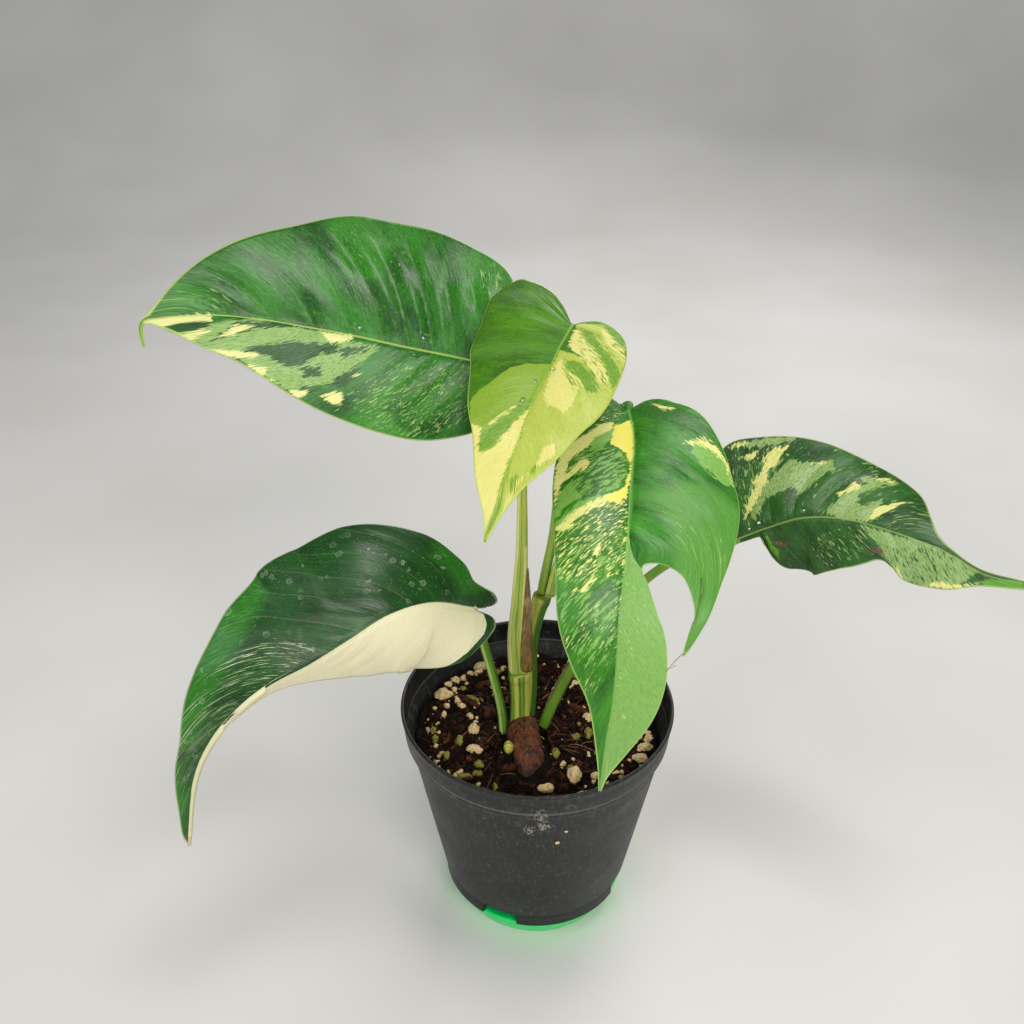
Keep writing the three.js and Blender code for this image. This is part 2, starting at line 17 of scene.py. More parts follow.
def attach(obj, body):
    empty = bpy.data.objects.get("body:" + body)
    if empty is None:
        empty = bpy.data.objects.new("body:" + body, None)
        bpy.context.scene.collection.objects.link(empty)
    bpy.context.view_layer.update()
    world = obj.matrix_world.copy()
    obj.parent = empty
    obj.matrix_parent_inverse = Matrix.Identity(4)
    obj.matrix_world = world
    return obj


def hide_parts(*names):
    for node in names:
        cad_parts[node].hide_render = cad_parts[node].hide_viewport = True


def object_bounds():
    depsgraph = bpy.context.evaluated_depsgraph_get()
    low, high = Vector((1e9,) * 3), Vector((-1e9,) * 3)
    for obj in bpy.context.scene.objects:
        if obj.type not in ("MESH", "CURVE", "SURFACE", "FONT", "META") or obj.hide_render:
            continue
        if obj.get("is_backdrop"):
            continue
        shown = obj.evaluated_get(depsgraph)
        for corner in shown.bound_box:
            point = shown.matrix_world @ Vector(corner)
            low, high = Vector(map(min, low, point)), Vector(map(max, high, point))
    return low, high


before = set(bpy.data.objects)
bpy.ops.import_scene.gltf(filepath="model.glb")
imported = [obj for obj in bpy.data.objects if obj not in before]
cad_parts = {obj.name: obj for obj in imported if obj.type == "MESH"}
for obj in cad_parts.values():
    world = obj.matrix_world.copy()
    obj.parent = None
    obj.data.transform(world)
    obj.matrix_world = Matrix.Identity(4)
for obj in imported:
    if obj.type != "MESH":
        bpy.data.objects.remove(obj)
cad_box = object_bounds()
MM = 0.001
noise.seed_set(12)  # without a seed, vector noise differs from run to run
print("CAD box in mm:", [[round(v / MM, 1) for v in corner] for corner in cad_box])

# %% [markdown]
# ## Camera
# The photograph looks down at the plant from the front, 30 degrees below level. The rim, the rim band and
# the foot of the pot are ellipses in the picture, and fitting all three at once gives the tilt, the
# distance and the place of the camera. A 36 mm lens on a 36 mm sensor sees as wide as it stands away.

# %% Camera
TILT = 29.6  # degrees below level
CAMERA_PLACE = (-11 * MM, -350.5 * MM, 402 * MM)
camera_data = bpy.data.cameras.new("camera")
camera_data.lens = 36
camera_data.sensor_width = 36
camera = bpy.data.objects.new("camera", camera_data)
camera.location = CAMERA_PLACE
camera.rotation_euler = (math.radians(90 - TILT), 0, 0)
bpy.context.scene.collection.objects.link(camera)
bpy.context.scene.camera = camera
bpy.context.scene.view_settings.view_transform = "Standard"
print("camera at", [round(v / MM) for v in camera.location], "mm, tilted", TILT, "degrees down")

# %% [markdown]
# ## Nodes of a finish
# Finishes are node trees, because a living surface has no one colour: it has tissue, patches, veins and
# skin, each at its own size in millimetres. One small function adds any node with its settings and links.
# Colours are written as the sRGB hex numbers that a screen shows.

# %% Nodes of a finish
def hex_colour(text):
    """An sRGB hex colour as linear numbers with an alpha."""
    parts = [int(text[i:i + 2], 16) / 255 for i in (0, 2, 4)]
    return tuple(v / 12.92 if v <= 0.04045 else ((v + 0.055) / 1.055) ** 2.4 for v in parts) + (1.0,)


def add(tree, kind, inputs=None, **settings):
    """One shader node with its settings. An input is a number, a hex colour, an output, or a node, whose
    first used output it takes."""
    node = tree.nodes.new("ShaderNode" + kind)
    for key, value in settings.items():
        setattr(node, key, value)
    for key, value in (inputs or {}).items():
        if isinstance(value, bpy.types.Node):
            value = next(output for output in value.outputs if output.enabled)
        if isinstance(value, bpy.types.NodeSocket):
            tree.links.new(value, node.inputs[key])
        else:
            node.inputs[key].default_value = hex_colour(value) if isinstance(value, str) else value
    return node


def finish_of(name, build):
    """A material; build(tree) returns the inputs of its Principled shader."""
    material = bpy.data.materials.new(name)
    material.use_nodes = True
    material.node_tree.nodes.clear()
    shader = add(material.node_tree, "BsdfPrincipled", build(material.node_tree))
    add(material.node_tree, "OutputMaterial", {"Surface": shader})
    return material


print("white is", [round(v, 2) for v in hex_colour("ffffff")])

# %% [markdown]
# ## Layers and grain
# Real surfaces are layered: dust lies on plastic, cream tissue on green. So a second tone is laid over the
# first where some value is high, mostly noise whose lumps have a real size in millimetres.

# %% Layers and grain
def lay_over(tree, below, tone, value, low, high, amount=1.0):
    """A second colour laid over the first where a value runs from low to high."""
    mask = add(tree, "MapRange", {"Value": value, "From Min": low, "From Max": high, "To Max": amount})
    return add(tree, "Mix", {"Factor": mask, "A": below, "B": tone}, data_type="RGBA")


def grain(tree, size_mm, detail=3.0, stretch=(1, 1, 1), shift=0.0):
    """Noise in the object's own space, with lumps about size_mm wide, drawn out where stretch is above 1."""
    where = add(tree, "TexCoord").outputs["Object"]
    scale = tuple(1 / (size_mm * MM * k) for k in stretch)
    place = add(tree, "Mapping", {"Vector": where, "Scale": scale, "Location": (shift, shift, shift)})
    return add(tree, "TexNoise", {"Vector": place, "Scale": 1.0, "Detail": detail, "Roughness": 0.6})


print("noise with 2 mm lumps has a scale of", round(1 / (2 * MM)), "to the metre")

# %% [markdown]
# ## Pieces
# Every piece is an object at the origin with its place in the mesh. It rides on the plant's one body
# and stands for the CAD node that it replaces, whose solid is hidden.

# %% Pieces
def link_object(name, mesh, *materials):
    """An object at the origin that holds the mesh, with smooth faces and the given materials."""
    piece = bpy.data.objects.new(name, mesh)
    bpy.context.scene.collection.objects.link(piece)
    for material in materials:
        mesh.materials.append(material)
    mesh.shade_smooth()
    return piece


def dress(piece, node):
    """Rides on the one body and stands for its CAD node, whose solid it hides."""
    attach(piece, "root")
    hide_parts(node)
    return piece


def piece_of(name, bm, node, material):
    """Keeps a mesh as a piece that rides on the plant's one body and stands for its CAD node."""
    mesh = bpy.data.meshes.new(name)
    bm.to_mesh(mesh)
    bm.free()
    return dress(link_object(name, mesh, material), node)


# %% [markdown]
# ## Floor
# A studio sweep is one sheet of pale board that rises behind the object in a soft curve, so no horizon
# shows. Its side view is a line of edges, extruded sideways.

# %% Floor
FLOOR_REACH = 2.2  # metres to either side
SWEEP = [(-1.4, 0), (0.9, 0), (1.15, 0.02), (1.4, 0.12), (1.6, 0.34), (1.7, 0.7), (1.72, 2.4)]
board = bmesh.new()
edge = [board.verts.new((-FLOOR_REACH, y, z)) for y, z in SWEEP]
strip = [board.edges.new(pair) for pair in zip(edge, edge[1:])]
swept = bmesh.ops.extrude_edge_only(board, edges=strip)["geom"]
moved = [v for v in swept if isinstance(v, bmesh.types.BMVert)]
bmesh.ops.translate(board, vec=(2 * FLOOR_REACH, 0, 0), verts=moved)
bmesh.ops.recalc_face_normals(board, faces=board.faces)
board_mesh = bpy.data.meshes.new("studio_sweep")
board.to_mesh(board_mesh)
board.free()


def board_finish(tree):
    """Matt pale cardboard, a little mottled, with a fine paper tooth."""
    mottle = grain(tree, 260, 2.0)
    colour = lay_over(tree, "d9d7d2", "e2e0dc", mottle, 0.35, 0.65)
    bump = add(tree, "Bump", {"Height": grain(tree, 0.8), "Distance": 0.05 * MM})
    return {"Base Color": colour, "Roughness": 0.85, "Normal": bump}


link_object("studio_sweep", board_mesh, finish_of("matt_pale_cardboard", board_finish))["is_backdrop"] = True
print("floor", FLOOR_REACH * 2, "m wide")

# %% [markdown]
# ## Light
# A large soft box stands in front, a little to the right. A smaller one hangs above, where its reflection
# is seen on the far half of the upper left leaf, as in the photograph. A weaker one fills in from the left,
# and a narrow one behind draws the edges of the leaves.

# %% Light
PLANT_MIDDLE = Vector((0, 0, 0.15))


def soft_box(name, place, size, power, colour="ffffff"):
    """A rectangular area light that faces the middle of the plant."""
    data = bpy.data.lights.new(name, "AREA")
    data.shape = "RECTANGLE"
    data.size, data.size_y = size
    data.energy = power
    data.color = hex_colour(colour)[:3]
    lamp = bpy.data.objects.new(name, data)
    lamp.location = place
    lamp.rotation_euler = (PLANT_MIDDLE - Vector(place)).to_track_quat("-Z", "Y").to_euler()
    bpy.context.scene.collection.objects.link(lamp)


soft_box("key", (0.35, -1.05, 0.85), (0.6, 0.6), 8.4, "fffaf2")
soft_box("top", (0.21, -0.14, 1.3), (0.3, 0.32), 4.2, "fffdf8")
soft_box("fill", (-0.8, -0.9, 0.9), (0.8, 0.8), 5, "f8faff")
soft_box("edge", (0.35, 0.95, 0.8), (0.8, 0.4), 5)
world = bpy.data.worlds.new("studio")
world.use_nodes = True
world.node_tree.nodes["Background"].inputs["Color"].default_value = hex_colour("e6ebf0")
world.node_tree.nodes["Background"].inputs["Strength"].default_value = 0.32
bpy.context.scene.world = world
print("four soft boxes")

# %% [markdown]
# ## Smooth lines
# A leaf's margin, its midrib and its twist all change smoothly, so each is a smooth line through a few
# places that can be measured. A midrib is one in space, read by the millimetres along it.

# %% Smooth lines
def through(rows, share):
    """The smooth line through rows of numbers, at shares from 0 to 1 of their count."""
    rows = np.asarray(rows, float)
    last = len(rows) - 1
    padded = np.vstack([2 * rows[0] - rows[1], rows, 2 * rows[-1] - rows[-2]])
    place = np.clip(np.asarray(share, float), 0, 1) * last
    i = np.minimum(place.astype(int), last - 1)
    u = (place - i)[..., None]
    a, b, c, d = (padded[i + k] for k in range(4))
    return 0.5 * (2 * b + (c - a) * u + (2 * a - 5 * b + 4 * c - d) * u**2 + (3 * b - a - 3 * c + d) * u**3)


def unit(v):
    """Vectors of length one."""
    return v / np.linalg.norm(v, axis=-1, keepdims=True)


FACE = np.array([0, -math.sqrt(0.5), math.sqrt(0.5)])  # where the blades turn their upper side


class Rib:
    """A midrib in space, measured along its length in millimetres."""

    def __init__(self, points):
        self.dots = through(points, np.linspace(0, 1, 801))
        self.run = np.concatenate([[0], np.cumsum(np.linalg.norm(np.diff(self.dots, axis=0), axis=1))])
        self.length = self.run[-1]
        self.slope = unit(np.gradient(self.dots, self.run, axis=0))

    def at(self, along):
        """Point, direction and upper side at a length along the midrib, carried straight on past its ends."""
        near = np.clip(along, 0, self.length)
        point, tangent = (np.stack([np.interp(near, self.run, rows[:, k]) for k in range(3)], -1)
                          for rows in (self.dots, self.slope))
        tangent = unit(tangent)
        flat = unit(FACE - (tangent @ FACE)[..., None] * tangent)
        return point + tangent * (along - near)[..., None], tangent, flat


print("a straight midrib of two points is", round(Rib([[0, 0, 0], [10, 0, 0]]).length, 1), "mm long")

# %% [markdown]
# ## Bending a flat leaf
# A leaf is measured flat and then bent. The midrib follows its curve in space, each half folds up or down
# from it and curls along its width, and the margin ripples. One function turns millimetres along and across
# the flat leaf into a point in space, so veins, holes and patches drawn on it land in the right place.

# %% Bending a flat leaf
def bend_leaf(leaf, rib, along, across):
    """Points in space for places on the flat leaf; across is negative on the left half."""
    point, tangent, flat = rib.at(along)
    beside = np.cross(tangent, flat)
    lie = np.radians(through(leaf["lie"], along / rib.length))
    roll = lie[..., :1]
    normal = flat * np.cos(roll) + beside * np.sin(roll)
    right = beside * np.cos(roll) - flat * np.sin(roll)
    left = across < 0
    width = np.abs(across)
    fold = np.where(left, lie[..., 1], lie[..., 3])
    turn = np.where(left, lie[..., 2], lie[..., 4])
    turn = np.where(np.abs(turn) < 1e-4, 1e-4, turn) / leaf["half_width"]
    angle = fold + turn * width
    height, length = leaf["wave"]
    phase = 2 * np.pi * along / length + np.where(left, 0, 1.9)
    ripple = height * (width / leaf["half_width"]) ** 2 * np.sin(phase)
    out = (np.sin(angle) - np.sin(fold)) / turn - ripple * np.sin(angle)
    up = (np.cos(fold) - np.cos(angle)) / turn + ripple * np.cos(angle)
    return point + right * (np.where(left, -1, 1) * out)[..., None] + normal * up[..., None]


flat_leaf = {"lie": [[0] * 5] * 2, "half_width": 10, "wave": [0, 30]}
spot = bend_leaf(flat_leaf, Rib([[0, 0, 0], [20, 0, 0]]), np.array([10.0]), np.array([5.0]))
print("10 mm along and 5 mm across a flat leaf lies at", spot[0].round(1))

# %% [markdown]
# ## The flat leaf as a net
# The blade starts as a plane grid. Every row is a side vein, every column a share of the way out to the
# margin, so cells are about a millimetre, which carries the swelling between the veins. The longer list of
# side veins leads, and the other half's is read at the same places on the midrib.

# %% Net of a flat leaf
COLUMNS = 72
ROWS_PER_VEIN = 12


def fill_veins(rows):
    """Every side vein as foot, end along, end across, middle along, middle across."""
    return np.array([row if len(row) == 5 else
                     [*row, row[0] + 0.38 * (row[1] - row[0]), 0.5 * row[2]] for row in rows], float)


def flat_net(leaf, length):
    """Flat places of the net, rows by columns: along, across, share out, vein count and width of the half."""
    halves = {-1: fill_veins(leaf["left"]), 1: fill_veins(leaf["right"])}
    lead = max(halves, key=lambda side: len(halves[side]))
    rows = ROWS_PER_VEIN * (len(halves[lead]) - 1)
    share = np.linspace(0, 1, rows + 1)
    foot = through(halves[lead], share)[:, 0]
    x = np.linspace(-1, 1, COLUMNS + 1)
    out = np.abs(x) ** 1.2
    near, middle, far = (1 - out) * (1 - 2 * out), 4 * out * (1 - out), out * (2 * out - 1)
    net = {key: np.zeros((rows + 1, COLUMNS + 1)) for key in ("along", "across", "vein", "width")}
    for side in (-1, 1):
        if side != lead:
            fine = np.linspace(0, 1, 4001)
            share = np.interp(foot, np.maximum.accumulate(through(halves[side], fine)[:, 0]), fine)
        else:
            share = np.linspace(0, 1, rows + 1)
        veins = through(halves[side], share)
        pick = (x < 0) if side < 0 else (x >= 0)
        along = np.outer(foot, near) + np.outer(veins[:, 3], middle) + np.outer(veins[:, 1], far)
        across = np.maximum(np.outer(veins[:, 4], middle) + np.outer(veins[:, 2], far), 0)
        line = 0.6 * veins[:, 1] + 0.4 * foot, 0.6 * veins[:, 2]
        count = np.concatenate([[0], np.cumsum(np.hypot(np.diff(line[0]), np.diff(line[1])))])
        net["along"][:, pick] = np.minimum(along, length)[:, pick]
        net["across"][:, pick] = side * across[:, pick]
        net["vein"][:, pick] = (count[:, None] - leaf["drift"] * out[None, :])[:, pick]
        net["width"][:, pick] = np.repeat(veins[:, 2:3], COLUMNS + 1, 1)[:, pick]
    net["out"] = np.repeat(out[None, :], rows + 1, 0)
    return net


print("a vein of three numbers filled in:", fill_veins([[10, 20, 30]])[0])

# %% [markdown]
# ## Outlines on the flat leaf
# Variegation is sectoral: whole strips between veins turn cream or milky green, with ragged edges along the
# veins, and some areas only carry flecks. A patch is an outline on the flat leaf with a depth: deep ones
# are solid, and those below zero show only where the streaky noise is strongest.

# %% Outlines on the flat leaf
def inside_depth(outline, x, y):
    """Millimetres inside an outline, negative outside."""
    best = np.full(x.shape, 1e9)
    inside = np.zeros(x.shape, bool)
    for (ax, ay), (bx, by) in zip(outline, outline[1:] + outline[:1]):
        run = max((bx - ax) ** 2 + (by - ay) ** 2, 1e-9)
        t = np.clip(((x - ax) * (bx - ax) + (y - ay) * (by - ay)) / run, 0, 1)
        best = np.minimum(best, np.hypot(x - ax - t * (bx - ax), y - ay - t * (by - ay)))
        if by != ay:
            inside ^= ((ay > y) != (by > y)) & (x < (bx - ax) * (y - ay) / (by - ay) + ax)
    return np.where(inside, best, -best)


def layer_depths(layers, x, y):
    """For each colour layer, how deep each place lies inside its patches."""
    depths = {}
    for layer, patches in layers.items():
        depths[layer] = np.full(x.shape, -9.0)
        for cap, outline in patches:
            depths[layer] = np.maximum(depths[layer], np.minimum(inside_depth(outline, x, y), cap))
    return depths


SQUARE = [(0, 0), (10, 0), (10, 10), (0, 10)]
print("a point 2 mm inside a 10 mm square:", inside_depth(SQUARE, np.array(2.0), np.array(5.0)))

# %% [markdown]
# ## Swelling between the side veins
# The blade of this plant is quilted: it swells up between the side veins. The swelling differs from strip
# to strip and fades toward the midrib and the margin, or it would look pressed.

# %% Swelling between the side veins
def wavy(x, y, size, seed):
    """Slow waves over the flat leaf, about one either way."""
    flat = [noise.noise(Vector((a / size[0], b / size[1], seed))) for a, b in zip(x.ravel(), y.ravel())]
    return np.array(flat).reshape(x.shape)


def vein_relief(leaf, net):
    """The swelling between side veins and the distance to the nearest one, both in mm, and the vein count."""
    count = net["vein"] + 2.5 * np.sin(net["vein"] / 17 + leaf["seed"])
    count = count / leaf["spacing"]
    gap = 2 * np.abs(count - np.round(count))
    strip = np.floor(count) + 40 * (net["across"] < 0)
    uneven = 0.25 + 1.3 * np.abs(np.sin(12.9898 * strip + leaf["seed"]))
    rise = np.clip(net["out"] / 0.14, 0, 1)
    fade = rise * rise * (3 - 2 * rise) * np.clip((1 - net["out"]) / 0.4, 0, 1)
    strength = np.where(net["across"] < 0, *leaf["quilt"]) * np.clip(net["width"] / 20, 0, 1)
    patchy = np.clip(0.7 + 2.4 * wavy(net["along"], net["across"], (23, 14), leaf["seed"] + 9), 0.08, 1.7)
    return strength * uneven * patchy * fade * (gap ** 0.6 - 0.6), 0.5 * gap * leaf["spacing"], count


print("slow waves at one place:", wavy(np.array([3.0]), np.array([4.0]), (20, 20), 1).round(2))

# %% [markdown]
# ## Holes
# Small holes beside the midrib are this plant's habit. They are cut in the flat leaf: the points inside go,
# and the ring around them is drawn onto the hole's edge, so the rim is smooth.

# %% Holes
def cut_holes(net, holes):
    """Moves the ring of points around each hole onto its edge, and returns which points are gone."""
    along, across = net["along"], net["across"]
    gone = np.zeros(along.shape, bool)
    net["callus"] = np.full(along.shape, 9.0)
    for hole_along, hole_across, long, wide in holes:
        reach = np.hypot((along - hole_along) / long, (across - hole_across) / wide)
        net["callus"] = np.minimum(net["callus"], reach)
        inside = reach < 1
        inside[np.unravel_index(np.argmin(reach), reach.shape)] = True
        rim = np.zeros(inside.shape, bool)
        for down in (-1, 0, 1):
            for aside in (-1, 0, 1):
                rim |= np.roll(inside, (down, aside), (0, 1))
        rim &= ~inside
        along[rim] = hole_along + (along[rim] - hole_along) / reach[rim]
        across[rim] = hole_across + (across[rim] - hole_across) / reach[rim]
        gone |= inside
    return gone


test_net = {"along": np.array([[0.0, 1, 2]] * 3), "across": np.array([[0.0] * 3, [1] * 3, [2] * 3])}
print("points inside a hole of 0.4 mm:", cut_holes(test_net, [(1, 1, 0.4, 0.4)]).sum())

# %% [markdown]
# ## Surface and thickness
# A midrib is a thick cord under the blade with a groove over it, and both taper to the tip. So every point
# has its own thickness, and a swelling along its normal. The marks that the finish needs, such as the
# distance to the margin, are kept on the mesh in millimetres.

# %% Surface and thickness
DEEPEST = 2.4  # thickness of the midrib at the petiole
BLADE = 0.42  # thickness of the blade
TAPER = 0.72  # share of its size that the midrib loses on the way to the tip
GROOVE = (0.5, 1.3)  # depth and half width of the groove over the midrib
RIDGE = (0.28, 0.5)  # height and half width of the ridge inside the groove
SIDE_VEIN = (0.22, 0.6)  # extra thickness and half width of a side vein


def keep_marks(mesh, marks):
    """Keeps numbers per point on the mesh: one value, or three as a vector."""
    for key, values in marks.items():
        numbers = np.asarray(values, np.float32)
        kind, field = ("FLOAT", "value") if numbers.ndim == 1 else ("FLOAT_VECTOR", "vector")
        mesh.attributes.new(key, kind, "POINT").data.foreach_set(field, numbers.ravel())


def blade_surface(leaf, rib, net):
    """Points in space, thickness, and the marks for the finish."""
    along, across = net["along"], net["across"]
    swell, vein_gap, count = vein_relief(leaf, net)
    left = across < 0
    swell += 0.3 * net["out"] * (wavy(along, across, (19, 19), leaf["seed"]) - 0.6)
    crease = np.where(left, *leaf["crease"]) * net["out"] * (1 - 0.6 * net["out"])
    swell += crease * wavy(net["vein"], across, (3.4, 15), leaf["seed"] + 5)
    taper = 1 - TAPER * np.clip(along / rib.length, 0, 1)
    groove = np.exp(-(across / (GROOVE[1] * taper)) ** 2)
    swell += -GROOVE[0] * groove * taper + RIDGE[0] * taper * np.exp(-(across / (RIDGE[1] * taper)) ** 2)
    points = bend_leaf(leaf, rib, along, across)
    normals = unit(np.cross(np.gradient(points, axis=1), np.gradient(points, axis=0)) + 1e-9)
    half = DEEPEST * taper * 0.62
    bar = DEEPEST * taper * np.sqrt(np.clip(1 - (across / half) ** 2, 0, 1)) * np.clip(0.4 + along / 8, 0, 1)
    under = BLADE + SIDE_VEIN[0] * np.exp(-(vein_gap / SIDE_VEIN[1]) ** 2) * (1 - net["out"])
    edge = (1 - net["out"]) * np.maximum(net["width"], np.where(along < 5, 6, 0))
    marks = {"lay": np.stack([net["vein"], along, across], -1), "callus": net["callus"],
             "rim": np.stack([edge, count, net["out"]], -1),
             "rib": np.clip(1.3 - np.abs(across) / (0.34 * taper + 0.08), 0, 1)}
    return points + normals * swell[..., None], np.maximum(bar, under), marks


print("midrib", DEEPEST, "mm at the petiole,", round(DEEPEST * (1 - TAPER), 2), "mm at the tip")

# %% [markdown]
# ## Blade mesh
# The net is laid on a grid from Blender's own operator, the points inside holes are deleted, and each mark
# is kept for the points that stay. Solidify gives the thickness later, so the mesh here is one skin.

# %% Blade mesh
def blade_mesh(name, leaf, layers):
    """The blade as one open skin with its marks, and the thickness at each of its points."""
    rib = Rib(leaf["rib"])
    net = flat_net(leaf, rib.length)
    gone = cut_holes(net, leaf["holes"])
    points, thickness, marks = blade_surface(leaf, rib, net)
    marks.update(layer_depths(layers, net["along"], net["across"]))
    last = len(points) - 1
    bm = bmesh.new()
    bmesh.ops.create_grid(bm, x_segments=COLUMNS, y_segments=last, size=1)
    places = [(round((v.co.y + 1) / 2 * last), round((v.co.x + 1) / 2 * COLUMNS)) for v in bm.verts]
    for vert, place in zip(bm.verts, places):
        vert.co = points[place] * MM
    kept = [place for place in places if not gone[place]]
    holes = [vert for vert, place in zip(bm.verts, places) if gone[place]]
    bmesh.ops.delete(bm, geom=holes, context="VERTS")
    mesh = bpy.data.meshes.new(name)
    bm.to_mesh(mesh)
    bm.free()
    rows, columns = (np.array(side) for side in zip(*kept))
    keep_marks(mesh, {key: values[rows, columns] for key, values in marks.items()})
    return mesh, thickness[rows, columns]


print("rows of", COLUMNS + 1, "points across a blade")

# %% [markdown]
# ## The leaf's green tissue
# A living leaf is green tissue under a clear skin. Its colour is built up in layers: two greens in slow
# clouds, then each patch layer with its own ragged edge, then the pale side veins, midrib and margin. The
# streaks are about 1 mm across the veins and 6 mm along them.

# %% Green tissue
def streaks(tree, lay, across_veins, along_veins, shift, detail=3.0):
    """Noise drawn out along the side veins; both sizes in millimetres."""
    scale = (1 / across_veins, 0, 1 / along_veins)
    place = add(tree, "Mapping", {"Vector": lay, "Scale": scale, "Location": (shift, 0, 2 * shift)})
    return add(tree, "TexNoise", {"Vector": place, "Scale": 1.0, "Detail": detail, "Roughness": 0.62,
                                  "Distortion": 0.2})


def tissue(tree, lay, greens):
    """Two greens in slow clouds and in ragged fields, with flecks of a third along the veins."""
    place = add(tree, "Mapping", {"Vector": lay, "Scale": (1 / 14, 1 / 22, 1 / 22)})
    cloud = add(tree, "TexNoise", {"Vector": place, "Scale": 1.0, "Detail": 3.0})
    colour = lay_over(tree, greens[0], greens[1], cloud, 0.36, 0.66)
    field = streaks(tree, lay, 3.4, 9.0, 13.0, 7.0)
    colour = lay_over(tree, colour, greens[1], field, 0.5, 0.62, 0.7)
    dark = streaks(tree, lay, 1.1, 3.0, 23.0, 6.0)
    colour = lay_over(tree, colour, greens[0], dark, 0.52, 0.64, 0.6)
    fine = streaks(tree, lay, 0.5, 1.3, 7.0, 4.0)
    return lay_over(tree, colour, greens[2], fine, 0.54, 0.7, 0.6), cloud


print("clouds of 14 to 22 mm, streaks of 0.5 to 9 mm")

# %% [markdown]
# ## Patches of another tissue
# Where pigment is missing the tissue is cream, and where some of it is missing it is milky green. The
# attribute gives the depth inside the patches, and noise in millimetres moves the edge, so it is torn along
# the veins.

# %% Patches of another tissue
def patch_layer(tree, lay, below, layer, shift):
    """A second tissue inside a layer's patches; its edge is ragged by rag mm and its body finely streaked."""
    attribute, tone, streak_tone, rag, width, length, soft = layer if len(layer) == 7 else (*layer, 0.12)
    depth = add(tree, "Attribute", attribute_name=attribute).outputs["Fac"]
    torn = streaks(tree, lay, width, length, shift, 6.0)
    fine = streaks(tree, lay, 0.45, 1.3, shift + 31, 5.0)
    reach = add(tree, "Math", {0: torn, 1: 2 * rag, 2: depth}, operation="MULTIPLY_ADD")
    reach = add(tree, "Math", {0: fine, 1: 0.6 * rag, 2: reach}, operation="MULTIPLY_ADD")
    mask = add(tree, "MapRange", {"Value": reach, "From Min": 1.3 * rag - soft, "From Max": 1.3 * rag + soft})
    body = lay_over(tree, tone, streak_tone, fine, 0.47, 0.6)
    return add(tree, "Mix", {"Factor": mask, "A": below, "B": body}, data_type="RGBA"), mask


print("a layer has six or seven settings")

# %% [markdown]
# ## Veins, midrib and margin
# Side veins show as thin paler lines, because their tissue has little green. The midrib and the rim of the
# blade are paler still, and a hole is ringed by brown, corky tissue where the leaf healed.

# %% Veins, midrib and margin
def vein_lines(tree, below, rib_tone, edge_tone):
    """Pale side veins, where the count of veins is whole, then the midrib and the margin."""
    rim = add(tree, "Attribute", attribute_name="rim").outputs["Vector"]
    rim = add(tree, "SeparateXYZ", {"Vector": rim})
    rib = add(tree, "Attribute", attribute_name="rib").outputs["Fac"]
    whole = add(tree, "Math", {0: rim.outputs["Y"], 1: 0.5}, operation="PINGPONG")
    colour = lay_over(tree, below, rib_tone, whole, 0.03, 0.01, 0.06)
    colour = lay_over(tree, colour, rib_tone, rib, 0.1, 0.9, 0.75)
    callus = add(tree, "Attribute", attribute_name="callus").outputs["Fac"]
    colour = lay_over(tree, colour, "2c2a14", callus, 2.1, 1.3, 0.85)
    return lay_over(tree, colour, edge_tone, rim.outputs["X"], 0.45, 0.2, 0.7)


print("margin of 0.2 to 0.45 mm")

# %% [markdown]
# ## Dried drops
# Hard water leaves a grey ring where a drop dried and specks where mist did. Cells of a Voronoi texture
# give each drop its place and size, and a little noise makes its edge less round.

# %% Dried drops
DROP_MM = 3.6


def water_marks(tree, lay, below, amount):
    """Dried drops: faint grey rings and specks of 1 to 4 mm, in some areas of the right half only."""
    place = add(tree, "Mapping", {"Vector": lay, "Scale": (0, 1 / DROP_MM, 1 / DROP_MM)})
    drop = add(tree, "TexVoronoi", {"Vector": place, "Scale": 1.0})
    size = add(tree, "SeparateColor", {"Color": drop.outputs["Color"]}).outputs[0]
    wobble = add(tree, "TexNoise", {"Vector": place, "Scale": 3.0, "Detail": 2.0})
    edge = add(tree, "Math", {0: size, 1: -0.34, 2: drop.outputs["Distance"]}, operation="MULTIPLY_ADD")
    edge = add(tree, "Math", {0: wobble, 1: 0.5, 2: edge}, operation="MULTIPLY_ADD")
    ring = lay_over(tree, (0, 0, 0, 1), (1, 1, 1, 1), edge, 0.24, 0.2)
    ring = lay_over(tree, ring, (0.3, 0.3, 0.3, 1), edge, 0.17, 0.12)
    area = add(tree, "TexNoise", {"Vector": place, "Scale": 0.16, "Detail": 2.0})
    fine = add(tree, "TexVoronoi", {"Vector": place, "Scale": 2.6})
    ring = lay_over(tree, ring, (0.8, 0.8, 0.8, 1), fine.outputs["Distance"], 0.2, 0.12, 0.8)
    shown = add(tree, "MapRange", {"Value": area, "From Min": 0.42, "From Max": 0.6, "To Max": amount})
    across = add(tree, "SeparateXYZ", {"Vector": lay}).outputs["Z"]
    half = add(tree, "Math", {0: across, 1: 0.5}, operation="GREATER_THAN")
    shown = add(tree, "Math", {0: shown, 1: half}, operation="MULTIPLY")
    mask = add(tree, "Math", {0: ring, 1: shown}, operation="MULTIPLY")
    return add(tree, "Mix", {"Factor": mask, "A": below, "B": "a9b8a0"}, data_type="RGBA")


print("drops up to", DROP_MM, "mm apart")

# %% [markdown]
# ## Leaf skin
# The waxy skin gives a broad, soft gloss (roughness about 0.3, IOR 1.45), and it is a little duller on
# cream tissue. Fine bumps follow the cells and the side veins. The underside has no wax: it is paler and
# matt.

